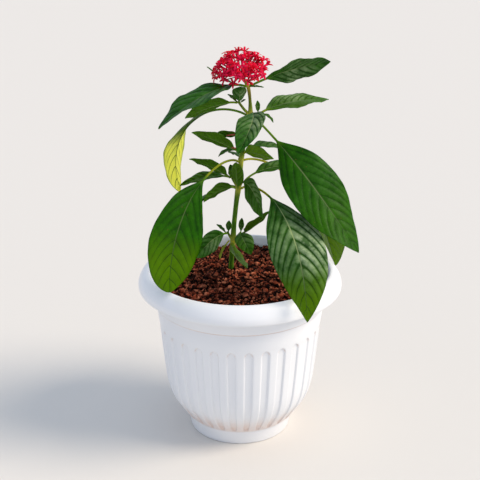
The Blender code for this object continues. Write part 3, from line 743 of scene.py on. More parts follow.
def petal_skin():
    """Thin crimson petals: matte velvet on top, darker tubes, a small pale throat, and painted shade on the lowest
    florets.
    """
    made, tree, place = new_material("petal_skin")
    along = add_node(tree, "Attribute", attribute_name="outward").outputs["Fac"]
    # Tone changes about every 6 mm, from floret to floret, over streaks about 0.6 mm wide.
    tone = add_node(tree, "TexNoise", (place, 170.0, 2.0))
    streak = add_node(tree, "TexNoise", (place, 1600.0, 2.0))
    # Along a floret: green calyx, dark tube, petals from 0.6 to 0.9, and the pale throat at 1.
    body = set_ramp(add_node(tree, "ValToRGB", (along,)),
                    [(0.0, "#5f7d22"), (0.09, "#6f8a2a"), (0.14, "#a81226"), (0.5, "#d8102a"),
                     (0.62, "#ec0828"), (0.9, "#fc143c"), (0.94, "#f05078"), (1.0, "#ffd8c8")])
    shade = add_node(tree, "MapRange", (tone, 0.4, 0.65, 0.0, 0.6))
    pinker = add_node(tree, "Mix", (shade, body, linear("#ff2c78")), data_type="RGBA")
    # Painted shade deepens the lowest florets of the head to a darker crimson.
    height = add_node(tree, "SeparateXYZ", (place,)).outputs["Z"]
    low, high = ((DOME_CENTRE.z + above) * MM for above in LOW_SHADE_HEIGHTS)
    painted_low_shade = add_node(tree, "MapRange", (height, low, high, 0.42, 0.0))
    red_part = add_node(tree, "MapRange", (along, 0.1, 0.14))
    shaded_red_part = add_node(tree, "Math", (painted_low_shade, red_part), operation="MULTIPLY")
    varied = add_node(tree, "Mix", (shaded_red_part, pinker, linear("#a00420")), data_type="RGBA")
    bump = add_node(tree, "Bump", {"Height": streak, "Strength": 0.3, "Distance": 0.15 * MM})
    skin = add_node(tree, "BsdfPrincipled",
                    {"Base Color": varied, "Roughness": 0.55, "IOR": 1.4, "Normal": bump,
                     "Specular IOR Level": 0.15})
    through = add_node(tree, "BsdfTranslucent", (varied,))
    lit = add_node(tree, "MixShader", (0.4, skin, through))
    add_node(tree, "OutputMaterial", {"Surface": lit})
    return made


def matte_backdrop():
    """Matte pale paper, as a studio floor."""
    made, tree, _ = new_material("matte_backdrop")
    shader = add_node(tree, "BsdfPrincipled", {"Base Color": linear("#dedad4"), "Roughness": 0.9})
    add_node(tree, "OutputMaterial", {"Surface": shader})
    return made


# Pot

# Where the flutes start, are full and end, in mm above the base. Their tops are round arches.
FLUTE_BOTTOM = 17
FLUTE_LOW_FULL = 23
FLUTE_FULL = 111.5
FLUTE_TOP = 117.5
FLUTE_WALL = 0.15
DRAIN_HOLES = 6
DRAIN_CIRCLE = 30
DRAIN_RADIUS = 4
DRILL_LENGTH = 12


def pot_outline():
    """(height, radius, on the fluted wall) along the wall: rounded at the lip, close rows at the flutes."""
    rows = [(h, r, 0.0) for h, r in POT_INSIDE]
    lip = smooth_points([Vector(row) for row in [POT_INSIDE[-1]] + POT_LIP], 3)
    rows += [(p.x, p.y, 0.0) for p in lip[1:]]
    rows += [(h, r, 0.0) for h, r in POT_COLLAR]
    body = smooth_points([Vector(row) for row in POT_OUTSIDE], 24)
    heights = [p.x for p in body][::-1]
    radii = [p.y for p in body][::-1]
    top, bottom = FLUTE_TOP + 1, POT_OUTSIDE[-1][0]
    close = np.concatenate([np.linspace(top, FLUTE_FULL - 1, 16), np.linspace(FLUTE_FULL - 4, 30, 24),
                            np.linspace(28, bottom, 16)])
    rows += [(float(h), float(np.interp(h, heights, radii)), 1.0) for h in close]
    rows += [(h, r, 0.0) for h, r in POT_FOOT] + [(0, 0, 0.0)]
    return rows


def turned_wall(rows, steps):
    """Points in mm and faces of an outline turned about Z, from the axis to the axis."""
    angles = np.linspace(0, 2 * math.pi, steps, endpoint=False)
    ring = np.stack([np.cos(angles), np.sin(angles)], axis=1)
    verts = []
    faces = []
    starts = []
    for height, radius, _ in rows:
        starts.append(len(verts))
        if radius == 0:
            verts.append((0, 0, height))
        else:
            verts += [(x * radius, y * radius, height) for x, y in ring]
    for k in range(len(rows) - 1):
        a, b = starts[k], starts[k + 1]
        for j in range(steps):
            i = (j + 1) % steps
            if rows[k][1] == 0:
                faces.append((a, b + j, b + i))
            elif rows[k + 1][1] == 0:
                faces.append((a + j, b, a + i))
            else:
                faces.append((a + j, b + j, b + i, a + i))
    return verts, faces


def flute_tree():
    """Geometry Nodes that sink round-ended flutes into the wall marked by the attribute "fluted"."""
    tree, given = geometry_tree("Flutes", {
        "Int": ["Count"], "Float": ["Depth", "Width", "Bottom", "Low Full", "Full", "Top"]})
    place = add_node(tree, "GeometryNodeInputPosition")
    axes = add_node(tree, "SeparateXYZ", (place,)).outputs
    angle = add_node(tree, "Math", (axes["Y"], axes["X"]), operation="ARCTAN2")
    turn = add_node(tree, "Math", (angle, 2 * math.pi), operation="DIVIDE")
    sector = add_node(tree, "Math", (turn, given["Count"]), operation="MULTIPLY")
    # Distance from the flute's middle line, 0 to 1 at the sector's edge; one middle lies on the X axis.
    folded = add_node(tree, "Math", (sector, 0.5), operation="PINGPONG")
    from_middle = add_node(tree, "Math", (folded, 2.0), operation="MULTIPLY")
    # The half width shrinks to nothing towards either end, along a quarter circle.
    up = add_node(tree, "MapRange", (axes["Z"], given["Full"], given["Top"]))
    down = add_node(tree, "MapRange", (axes["Z"], given["Low Full"], given["Bottom"]))
    ends = add_node(tree, "Math", (up, down), operation="MAXIMUM")
    squared = add_node(tree, "Math", (ends, ends), operation="MULTIPLY")
    left = add_node(tree, "Math", (1.0, squared), operation="SUBTRACT")
    round_end = add_node(tree, "Math", (left,), operation="SQRT")
    half = add_node(tree, "Math", (given["Width"], round_end), operation="MULTIPLY")
    inside = add_node(tree, "Math", (half, from_middle), operation="SUBTRACT")
    wall = add_node(tree, "MapRange", (inside, 0.0, FLUTE_WALL), interpolation_type="SMOOTHSTEP")
    marked = add_node(tree, "GeometryNodeInputNamedAttribute", {"Name": "fluted"}, data_type="FLOAT")
    recess = add_node(tree, "Math", (wall, marked), operation="MULTIPLY")
    # The corner under a flute's arch, where dust is caught and painted shade lies: a bump across the flute's sloping
    # wall.
    rest = add_node(tree, "Math", (1.0, recess), operation="SUBTRACT")
    halfway = add_node(tree, "Math", (recess, rest), operation="MULTIPLY")
    fourfold = add_node(tree, "Math", (halfway, 4.0), operation="MULTIPLY")
    arch = add_node(tree, "Math", (up, 3.0), operation="MULTIPLY", use_clamp=True)
    corner = add_node(tree, "Math", (fourfold, arch), operation="MULTIPLY")
    geometry = given["Geometry"]
    for name, value in (("recess", recess), ("corner", corner)):
        geometry = add_node(tree, "GeometryNodeStoreNamedAttribute", {
            "Geometry": geometry, "Name": name, "Value": value}, data_type="FLOAT", domain="POINT")
    flat = add_node(tree, "CombineXYZ", (axes["X"], axes["Y"]))
    outward = add_node(tree, "VectorMath", (flat,), operation="NORMALIZE")
    depth = add_node(tree, "Math", (recess, given["Depth"]), operation="MULTIPLY")
    inward = add_node(tree, "Math", (depth, -1.0), operation="MULTIPLY")
    offset = add_node(tree, "VectorMath", (outward, inward), operation="SCALE")
    end_tree(tree, add_node(tree, "GeometryNodeSetPosition", {"Geometry": geometry, "Offset": offset}))
    return tree


class PENTAS_OT_pot(bpy.types.Operator):
    """Make the fluted pot with its rolled lip, foot ring and drain holes"""
    bl_idname = "pentas.pot"
    bl_label = "Pot"

    def execute(self, context):
        settings = context.scene.pentas_pot
        plastic = moulded_polypropylene(settings.colour)
        rows = pot_outline()
        pot = mesh_piece("fluted_pot", *turned_wall(rows, POT_STEPS), plastic)
        mark_points(pot.data, {"fluted": [mark for _, radius, mark in rows
                                          for _ in range(POT_STEPS if radius else 1)]})
        face_outwards(pot.data, merge=True)
        drills = bmesh.new()
        for k in range(DRAIN_HOLES):
            spot = spoke(2 * math.pi * k / DRAIN_HOLES, DRAIN_CIRCLE) * MM
            bmesh.ops.create_cone(drills, cap_ends=True, segments=32, radius1=DRAIN_RADIUS * MM,
                                  radius2=DRAIN_RADIUS * MM, depth=DRILL_LENGTH * MM,
                                  matrix=Matrix.Translation(spot))
        cutter = new_object("drain_drills", as_mesh(drills, "drain_drills"))
        holes = pot.modifiers.new("Drain holes", "BOOLEAN")
        holes.operation = "DIFFERENCE"
        holes.object = cutter
        made_plain(pot)
        bpy.data.objects.remove(cutter, do_unlink=True)
        grow(pot, flute_tree(), {
            "Count": settings.flutes, "Depth": settings.flute_depth, "Width": settings.flute_width,
            "Bottom": FLUTE_BOTTOM * MM, "Low Full": FLUTE_LOW_FULL * MM, "Full": FLUTE_FULL * MM,
            "Top": FLUTE_TOP * MM, "Material": plastic})
        pot.data.shade_smooth()
        pot.data.set_sharp_from_angle(angle=math.radians(50))
        finish_piece(pot, "pot_white", "pot")
        return {"FINISHED"}


# Soil

SOIL_RADIUS = 86.3
SOIL_LEVEL = 161.4
SOIL_RINGS = 44
SOIL_STEPS = 150
SOIL_DEPTH = 8
BED_SEED = 11
BED_BUMPS = 60
# The soil rises a little round the stem: how far in mm, and over what spread in square mm.
STEM_MOUND = 2.2
MOUND_SPREAD = 500
# Crumbs are strewn up to this distance from the middle. Of the points tried, some lie too close to
# others and are dropped, so more are tried than are wanted.
STREWN_RADIUS = 84.5
CRUMB_TRIES = 2.0
FIBRE_TRIES = 1.6


def crumb_tree(name):
    """Geometry Nodes that strew rough crumbs over a surface, a few sizes mixed."""
    tree, given = geometry_tree(name, {
        "Float": ["Spacing", "Density", "Radius", "Roughness"], "Int": ["Faces", "Seed"]})
    spots = add_node(tree, "GeometryNodeDistributePointsOnFaces", {
        "Mesh": given["Geometry"], "Distance Min": given["Spacing"], "Density Max": given["Density"],
        "Seed": given["Seed"]}, distribute_method="POISSON")
    # How high each crumb lies in the heap, its size along its three axes, and its turn.
    heap, size, turn = (
        add_node(tree, "FunctionNodeRandomValue", {0: low, 1: high, "Seed": given["Seed"]},
                 data_type="FLOAT_VECTOR")
        for low, high in (((0, 0, -0.8 * MM), (0, 0, 1.5 * MM)), ((0.4, 0.4, 0.4), (1.6, 1.3, 1.1)),
                          ((0, 0, 0), (6.28, 6.28, 6.28))))
    heaped = add_node(tree, "GeometryNodeSetPosition", {"Geometry": spots, "Offset": heap})
    ball = add_node(tree, "GeometryNodeMeshIcoSphere", (given["Radius"], given["Faces"]))
    strewn = add_node(tree, "GeometryNodeInstanceOnPoints", {
        "Points": heaped, "Instance": ball, "Rotation": turn, "Scale": size})
    real = add_node(tree, "GeometryNodeRealizeInstances", (strewn,))
    # Noise about 2.4 mm across roughens each crumb.
    place = add_node(tree, "GeometryNodeInputPosition")
    noise = add_node(tree, "TexNoise", (place, 420.0, 2.0))
    centred = add_node(tree, "VectorMath", (noise.outputs["Color"], (0.5, 0.5, 0.5)), operation="SUBTRACT")
    push = add_node(tree, "VectorMath", (centred, given["Roughness"]), operation="SCALE")
    rough = add_node(tree, "GeometryNodeSetPosition", {"Geometry": real, "Offset": push})
    # The upward share of each point's normal, from which the peat's finish paints light on the crumbs' tops and shade
    # on their sides.
    normal = add_node(tree, "GeometryNodeInputNormal")
    upward = add_node(tree, "SeparateXYZ", (normal,)).outputs["Z"]
    end_tree(tree, add_node(tree, "GeometryNodeStoreNamedAttribute", {
        "Geometry": rough, "Name": "facing_up", "Value": upward}, data_type="FLOAT", domain="POINT"))
    return tree


def fibre_tree():
    """Geometry Nodes that lay short curled fibres on a surface."""
    tree, given = geometry_tree("Fibres", {
        "Float": ["Spacing", "Density", "Radius", "Curl"], "Int": ["Seed"]})
    spots = add_node(tree, "GeometryNodeDistributePointsOnFaces", {
        "Mesh": given["Geometry"], "Distance Min": given["Spacing"], "Density Max": given["Density"],
        "Seed": given["Seed"]}, distribute_method="POISSON")
    arc = add_node(tree, "GeometryNodeCurveArc", {
        "Resolution": 8, "Radius": given["Curl"], "Sweep Angle": 2.2})
    profile = add_node(tree, "GeometryNodeCurvePrimitiveCircle", {
        "Resolution": 4, "Radius": given["Radius"]})
    wire = add_node(tree, "GeometryNodeCurveToMesh", {
        "Curve": arc, "Profile Curve": profile, "Fill Caps": True})
    size, turn = (
        add_node(tree, "FunctionNodeRandomValue", {0: low, 1: high, "Seed": given["Seed"]},
                 data_type="FLOAT_VECTOR")
        for low, high in (((0.5, 0.5, 0.5), (1.6, 1.6, 1.0)), ((-0.35, -0.35, 0), (0.35, 0.35, 6.28))))
    laid = add_node(tree, "GeometryNodeInstanceOnPoints", {
        "Points": spots, "Instance": wire, "Rotation": turn, "Scale": size})
    end_tree(tree, add_node(tree, "GeometryNodeTranslateInstances", {
        "Instances": laid, "Translation": (0, 0, 1.3 * MM)}))
    return tree


def soil_bed(name, peat):
    """The uneven bed that the crumbs lie on, as a closed shallow disc."""
    rng = np.random.default_rng(BED_SEED)
    bumps = [(rng.uniform(-90, 90), rng.uniform(-90, 90), rng.uniform(9, 26), rng.uniform(-1.1, 1.1))
             for _ in range(BED_BUMPS)]
    foot = Vector(STEM["foot"][0])
    rows = [(SOIL_LEVEL, SOIL_RADIUS * (k / SOIL_RINGS) ** 0.7, 0.0) for k in range(SOIL_RINGS + 1)]
    rows += [(SOIL_LEVEL - SOIL_DEPTH, SOIL_RADIUS - 1.6, 0.0), (SOIL_LEVEL - SOIL_DEPTH, 0, 0.0)]
    verts, faces = turned_wall(rows, SOIL_STEPS)
    shaped = []
    for x, y, z in verts:
        if z == SOIL_LEVEL:
            z += sum(h * math.exp(-((x - u) ** 2 + (y - v) ** 2) / (2 * w * w)) for u, v, w, h in bumps)
            z += STEM_MOUND * math.exp(-((x - foot.x) ** 2 + (y - foot.y) ** 2) / MOUND_SPREAD)
        shaped.append((x, y, z))
    bed = mesh_piece(name, shaped, faces, peat)
    face_outwards(bed.data, merge=True)
    return bed


class PENTAS_OT_soil(bpy.types.Operator):
    """Make the coco peat: an uneven bed, crumbs of two sizes and coir fibres"""
    bl_idname = "pentas.soil"
    bl_label = "Soil"

    def execute(self, context):
        settings = context.scene.pentas_soil
        peat = coco_peat()
        bed = soil_bed("peat_bed", peat)
        area = math.pi * (SOIL_RADIUS * MM) ** 2
        top = bmesh.new()
        top.from_mesh(bed.data)
        side = [f for f in top.faces
                if f.normal.z < 0.5 or f.calc_center_median().xy.length > STREWN_RADIUS * MM]
        bmesh.ops.delete(top, geom=side, context="FACES")
        surface = as_mesh(top, "peat_top")
        # Name, label, count, size beside the usual crumb, subdivisions and roughness in mm.
        layers = [("peat_crumbs", "Crumbs", settings.crumbs, 1.0, 1, 1.3),
                  ("peat_lumps", "Lumps", settings.lumps, 1.7, 2, 2.2)]
        for name, label, count, scale, faces, rough in layers:
            piece = new_object(name, surface.copy())
            radius = settings.crumb_size * scale
            grow(piece, crumb_tree(label), {
                "Spacing": radius, "Density": CRUMB_TRIES * count / area, "Radius": radius, "Faces": faces,
                "Roughness": rough * MM, "Seed": settings.seed, "Material": peat})
            face_outwards(piece.data, merge=True)
            finish_piece(piece, "soil_brown", "soil")
        fibres = new_object("coir_fibres", surface)
        grow(fibres, fibre_tree(), {
            "Spacing": 4 * MM, "Density": FIBRE_TRIES * settings.fibres / area,
            "Radius": 0.16 * MM, "Curl": 3.2 * MM, "Seed": settings.seed + 1, "Material": coir_fibre()})
        fibres.data.shade_smooth()
        finish_piece(fibres, "soil_brown", "soil")
        finish_piece(bed, "soil_brown", "soil")
        return {"FINISHED"}


# Stem

STEM_SIDES = 20
STEM_ROWS = 10
SHOOT_SIDES = 10
RIB_DEPTH = 0.06
NODE_REACH = 6


def swept(rows, sides, ribs=0.0):
    """Points and faces of a closed tube along (x, y, z, radius) rows in mm, with four soft ribs."""
    points = [row.xyz for row in rows]
    heads = [(b - a).normalized() for a, b in zip([points[0]] + points[:-1], points[1:] + [points[-1]])]
    side = heads[0].orthogonal().normalized()
    verts = []
    for point, head, row in zip(points, heads, rows):
        side = (side - head * side.dot(head)).normalized()
        over = head.cross(side)
        for k in range(sides):
            angle = 2 * math.pi * k / sides
            radius = row.w * (1 + ribs * math.cos(4 * angle))
            verts.append(point + (side * math.cos(angle) + over * math.sin(angle)) * radius)
    ends = [tuple(range(sides)), tuple(range(len(verts) - sides, len(verts)))]
    return verts, band_faces(len(rows), sides) + ends


def shoot_rows(name):
    """Rows of a side shoot, from inside the stem to just past the leaves it carries."""
    row, end, radius = SHOOTS[name]
    first = Vector((*STEM[row][0], radius * 1.3))
    last = Vector((*end, radius))
    onward = (last - first).xyz.normalized()
    tip = last + Vector((*onward, 0))
    dome = tip + Vector((*(onward * 0.8), 0))
    dome.w = radius * 0.45
    return smooth_points([first, (first + last) / 2 + Vector((0, 0, -0.8, 0)), last, tip], 4) + [dome]


class PENTAS_OT_stem(bpy.types.Operator):
    """Make the ribbed stem with its swollen nodes, stipules, side shoots and dry stubs"""
    bl_idname = "pentas.stem"
    bl_label = "Stem"

    def execute(self, context):
        rows = [Vector((*place, radius)) for place, radius in STEM.values()]
        top = DOME_CENTRE + (rows[-1].xyz - DOME_CENTRE).normalized() * (KNOB_RADIUS - 1)
        rows.append(Vector((*top, 1.5)))
        swollen = [Vector(STEM[name][0]) for name in SWOLLEN]
        # Each tube: its rows, its sides, the depth of its ribs and how dry it is.
        tubes = [(smooth_points(rows, STEM_ROWS), STEM_SIDES, RIB_DEPTH, 0.0)]
        tubes += [(shoot_rows(name), SHOOT_SIDES, RIB_DEPTH / 2, 0.0) for name in SHOOTS]
        for row, end in STUBS.items():
            first, last = Vector((*STEM[row][0], 1.0)), Vector((*end, 0.55))
            sagged = (first + last) / 2 + Vector((0, 0, 1.2, 0))
            tubes.append((smooth_points([first, sagged, last], 5), SHOOT_SIDES, 0.0, 1.0))
        # Stipules: small pointed scales between the stalks of a pair of leaves.
        for place in swollen:
            for turn in STIPULE_TURNS:
                out = spoke(math.radians(turn))
                first = Vector((*(place + out * 2.0), 1.0))
                last = Vector((*(place + out * 3.4 + Vector((0, 0, 4.2))), 0.15))
                bulged = (first + last) / 2 + Vector((*(out * 0.5), 0))
                tubes.append(([first, bulged, last], SHOOT_SIDES, 0.0, 0.0))
        verts, faces, near, dry = [], [], [], []
        for tube, sides, ribs, dryness in tubes:
            points, quads = swept(tube, sides, ribs)
            faces += [tuple(len(verts) + k for k in quad) for quad in quads]
            verts += points
            near += [max(math.exp(-((p - s).length / NODE_REACH) ** 2) for s in swollen) for p in points]
            dry += [dryness] * len(points)
        stem = mesh_piece("ribbed_stem", verts, faces, stem_skin(), 60)
        mark_points(stem.data, {"node_near": near, "dry": dry})
        face_outwards(stem.data)
        finish_piece(stem, "stem_green", "stem")
        return {"FINISHED"}


# Leaves

VEIN_SWEEP = 0.17
VEIN_BOW = 0.2
# Rows along the blade, points across it and rows along the stalk, for leaves by their length in mm.
SHORT_LEAF = 30
LONG_LEAF = 90
SHORT_GRID = (26, 11, 5)
USUAL_GRID = (72, 25, 5)
LONG_GRID = (130, 41, 12)
MIDRIB_STEPS = 400
FLAT_FROM = 0.2


def carrier(spot):
    """The place and the radius, in mm, of the stem's row or the shoot's end that a leaf grows from."""
    return STEM[spot] if spot in STEM else SHOOTS[spot][1:]


def rotated(vectors, axes, angles):
    """Vectors turned about unit axes, one by one."""
    cos, sin = np.cos(angles)[:, None], np.sin(angles)[:, None]
    along = np.sum(vectors * axes, axis=1, keepdims=True)
    return vectors * cos + np.cross(axes, vectors) * sin + axes * along * (1 - cos)


def petiole_radius(leaf):
    """Radius in mm of a leaf's stalk: a long leaf's is thicker."""
    return PETIOLE_RADIUS * min(1, 0.5 + leaf.length / 140)


def midrib_frames(name, leaf, share):
    """Points in mm, sideways axes and up axes of a leaf at the given shares of its length."""
    def headings(share):
        turns = np.radians(leaf.azimuth + leaf.sway * share)
        slopes = np.radians(leaf.rise + (leaf.droop - leaf.rise) * share ** BENDS_LATER.get(name, BEND))
        return turns, np.stack([np.cos(slopes) * np.cos(turns), np.cos(slopes) * np.sin(turns),
                                np.sin(slopes)], axis=1)

    place, carrier_radius = carrier(leaf.spot)
    reach = carrier_radius + 0.3 + petiole_radius(leaf) * abs(math.sin(math.radians(leaf.rise)))
    turn = math.radians(leaf.azimuth)
    start = np.array(place, float) + reach * np.array((math.cos(turn), math.sin(turn), 0))
    _, heads = headings((np.arange(MIDRIB_STEPS) + 0.5) / MIDRIB_STEPS)
    steps = np.cumsum(heads, axis=0) * leaf.length / MIDRIB_STEPS
    points = start + np.concatenate([np.zeros((1, 3)), steps])
    even = np.linspace(0, 1, MIDRIB_STEPS + 1)
    centre = np.stack([np.interp(share, even, points[:, k]) for k in range(3)], axis=1)
    turns, heads = headings(share)
    sides = np.stack([np.sin(turns), -np.cos(turns), np.zeros_like(turns)], axis=1)
    sides = rotated(sides, heads, -np.radians(leaf.roll + leaf.twist * share))
    return centre, sides, np.cross(sides, heads)


def blade_width(along, belly):
    """Half width of a blade, 0 to 1, at shares of its length from the stalk to the tip."""
    rising = BLADE_POWER * belly
    falling = BLADE_POWER * (1 - belly)
    return (along ** rising * (1 - along) ** falling) / (belly ** rising * (1 - belly) ** falling)


def blade_relief(leaf, looks, settings, pairs, seed, s, t, h, width):
    """Lifts of a blade's two faces in mm, and each point's place among the side veins.

    s runs from the stalk to the tip, t across from -1 to 1, h is the half width in mm and width the
    same from 0 to 1.
    """
    far = np.abs(t)
    size = leaf.width / 50
    uneven = 0.15 * np.sin(6 * s + seed + np.where(t > 0, 1.5, 0))
    phase = pairs * (s - (VEIN_SWEEP * far + VEIN_BOW * far ** 2) * width) + uneven
    # Pillows between the side veins, a groove along the midrib, and a margin that ripples.
    apart = np.abs((phase + 0.5) % 1 - 0.5) * 2
    pillow = 1 - (1 - apart) ** 3.4
    inside = np.clip(1.15 - far ** 2.5, 0, 1) * np.clip(far * 5, 0, 1)
    ends = np.clip(s * 5, 0, 1) * np.clip((1 - s) * 4, 0, 1)
    depth = settings.vein_depth / MM * looks.depth * min(1.0, 0.35 + 0.65 * size)
    quilt = depth * (pillow - 0.6) * inside * ends
    groove = -0.5 * min(1, size + 0.2) * np.exp(-(far * h / 1.1) ** 2)
    wave = looks.wave * min(1.0, size + 0.3)
    ripple = wave * far ** 4 * np.sin(2 * math.pi * (2.3 * s + 0.13 * seed) + np.where(t > 0, 1.7, 0))
    ripple += 0.12 * wave * far ** 6 * np.sin(2 * math.pi * (pairs * s + 0.3 * seed))
    cup = math.tan(math.radians(looks.fold)) * h * (np.sqrt(far ** 2 + 0.002) - 0.04)
    upper = cup - 0.10 * h * far ** 3 + quilt + groove + ripple * ends
    # The midrib stands out below; elsewhere the sheet is thin, and thinnest at its margin.
    rib = 0.9 * min(1, size + 0.25) * (1 - 0.75 * s) * np.exp(-(far * h / 0.9) ** 2)
    sheet = settings.thickness / MM * (1 - far ** 10) + rib
    flat = np.clip(s / FLAT_FROM, 0, 1)
    flat = flat * flat * (3 - 2 * flat)
    # Near the stalk both faces turn into its round.
    stalk_radius = petiole_radius(leaf)
    round_half = stalk_radius * np.sqrt(np.clip(1 - t ** 2, 0, 1)) * (1 - flat)
    upper = upper * flat
    return upper + round_half, upper - sheet * flat - round_half, phase


def mark_leaf(mesh, looks, along, ring_t, ring_under, phase, stalk_rows):
    """Stores what the blade's finish needs on the leaf's points, and its UV map "blade"."""
    rows, around = phase.shape
    yellowing = np.clip((along - looks.fades_from) / 0.25, 0, 1) if looks.fades_from else np.ones(rows)
    fade = np.repeat(looks.fade * yellowing, around)
    if looks.fade < 0.9:
        fade[:stalk_rows * around] = min(1.0, 2.5 * looks.fade)
    # The painted sheen is strongest over the middle of the half that faces the light.
    sheen_along = np.exp(-((along - 0.47) / 0.25) ** 2)
    marks = {
        "under": np.tile(ring_under, rows),
        "stalk": np.repeat(1 - np.clip(along * 12, 0, 1), around),
        "fade": fade,
        "vein_phase": phase.ravel(),
        "pale_rib": np.full(rows * around, looks.pale),
        "bloom": (looks.bloom * sheen_along[:, None] * (0.35 + 0.65 * np.clip(0.5 - 3 * ring_t, 0, 1))).ravel(),
    }
    # The last point is the tip, which takes the values of its neighbour.
    mark_points(mesh, {label: np.append(values, values[-1]).astype(np.float32)
                       for label, values in marks.items()})
    u = np.append(np.repeat(along, around), 1.0)
    v = np.append(np.tile(ring_t * 0.5 + 0.5, rows), 0.5)
    corners = np.empty(len(mesh.loops), np.int32)
    mesh.loops.foreach_get("vertex_index", corners)
    uv = mesh.uv_layers.new(name="blade")
    uv.data.foreach_set("uv", np.stack([u[corners], v[corners]], axis=1).astype(np.float32).ravel())


def make_leaf(name, leaf, settings, look):
    """One leaf: a closed sheet with a sunk midrib and side veins, a rippled margin and its stalk."""
    looks = LOOKS.get(name, USUAL_LOOKS)
    leaf = leaf._replace(width=leaf.width * BROADER.get(name, 1))
    long = leaf.length > LONG_LEAF
    blade_rows, columns, stalk_rows = LONG_GRID if long else (
        SHORT_GRID if leaf.length < SHORT_LEAF else USUAL_GRID)
    spacing = settings.vein_spacing / MM * (1 if long else 0.6)
    pairs = max(4, round(leaf.length * (1 - leaf.petiole) / spacing))
    along = np.concatenate([np.zeros(stalk_rows), (np.arange(blade_rows) + 0.6) / (blade_rows + 0.3)])
    share = leaf.petiole + (1 - leaf.petiole) * along
    share[:stalk_rows] = np.linspace(0, leaf.petiole, stalk_rows, endpoint=False)
    centre, sides, ups = midrib_frames(name, leaf, share)
    width = blade_width(along, BROADEST_LATER.get(name, BELLY))
    outer = leaf.width / 2 * width
    half = np.maximum(petiole_radius(leaf), outer)
    if long:
        # A long blade narrows gently into its stalk.
        near = np.clip(along / 0.3, 0, 1)
        half = np.maximum(petiole_radius(leaf), half * (near * (2 - near)) ** 0.6)
    half = np.where(along > 0.5, outer, half)
    across = np.linspace(-1, 1, columns)
    across = 0.75 * across + 0.25 * np.sin(math.pi / 2 * across)

    s, t, h = along[:, None], across[None, :], half[:, None]
    seed = sum(ord(c) for c in name)
    *lifts, phase = blade_relief(leaf, looks, settings, pairs, seed, s, t, h, width[:, None])
    turned = name in TURNED_OVER
    if turned:
        lifts = [-lift for lift in reversed(lifts)]
    spread = centre[:, None, :] + (t * h)[:, :, None] * sides[:, None, :]
    top, low = (spread + lift[:, :, None] * ups[:, None, :] for lift in lifts)
    # Each row is a ring: over the upper face, and back below it without the two margins.
    back = slice(-2, 0, -1)
    ring = np.concatenate([top, low[:, back]], axis=1)
    ring_t = np.concatenate([across, across[back]])
    ring_under = np.concatenate([np.full(columns, float(turned)), np.full(columns - 2, float(not turned))])
    ring_phase = np.concatenate([phase, phase[:, back]], axis=1)
    rows, around = ring.shape[:2]
    last = (rows - 1) * around
    fan = [(last + k, rows * around, last + (k + 1) % around) for k in range(around)]
    faces = band_faces(rows, around) + fan + [tuple(range(around))]
    tip = midrib_frames(name, leaf, np.array([1.0]))[0]
    piece = mesh_piece(f"{name[5:]}_leaf", [*ring.reshape(-1, 3), *tip], faces, look)
    mark_leaf(piece.data, looks, along, ring_t, ring_under, ring_phase, stalk_rows)
    face_outwards(piece.data)
    return finish_piece(piece, "leaf_yellow" if looks.fade > 0.6 else "leaf_green", name)


class PENTAS_OT_leaves(bpy.types.Operator):
    """Make every leaf, each in the place of its node"""
    bl_idname = "pentas.leaves"
    bl_label = "Leaves"

    def execute(self, context):
        settings = context.scene.pentas_leaf
        blade = leaf_blade(settings)
        for name, leaf in LEAVES.items():
            make_leaf(name, leaf, settings, blade)
        return {"FINISHED"}


# Flower head

FLORET_SIDES = 5
HEAD_SPREAD = 1.04
HEAD_FLATNESS = 0.88
HEAD_LEAN = 15
LEAN_AXIS = (0.97, -0.24, 0.0)
HALF_OPEN = 0.3
HEAD_UNEVENNESS = 0.24
# How steeply the petals of open and half open florets rise, in degrees.
OPEN_CUP = 5
HALF_OPEN_CUP = 45
THROAT_RADIUS = 0.5
PETAL_THICKNESS = 0.22
# (share of the length, share of the width) along a petal.
PETAL_ROWS = [(0.0, 0.45), (0.22, 0.8), (0.5, 1.0), (0.78, 0.78), (0.95, 0.32)]


def marked_mesh(name, bm, marks):
    """A mesh from a bmesh, with the attribute "outward" that tells calyx, tube, petal and throat apart."""
    bmesh.ops.recalc_face_normals(bm, faces=bm.faces)
    outward = [marks[vert] for vert in bm.verts]
    mesh = as_mesh(bm, name)
    mark_points(mesh, {"outward": outward})
    mesh.shade_smooth()
    return mesh


def tube_mesh(length):
    """The thin tube of a floret, down -Z from its mouth at the origin, on a small green calyx."""
    bm = bmesh.new()
    marks = {}
    rings = []
    tube = [(-length, 0.42, 0.0), (-length + 2.4, 0.7, 0.07), (-length + 3.2, 0.5, 0.14), (-4, 0.55, 0.5),
            (-1.0, 0.8, 0.55), (0.25, 1.0, 0.6)]
    for height, radius, outward in tube:
        ring = [bm.verts.new(spoke(2 * math.pi * k / FLORET_SIDES, radius, height) * MM)
                for k in range(FLORET_SIDES)]
        marks.update(dict.fromkeys(ring, outward))
        rings.append(ring)
    for first, second in zip(rings, rings[1:]):
        for k in range(FLORET_SIDES):
            bm.faces.new((first[k - 1], first[k], second[k], second[k - 1]))
    bm.faces.new(rings[0])
    bm.faces.new(rings[-1])
    return marked_mesh("floret_tube", bm, marks)


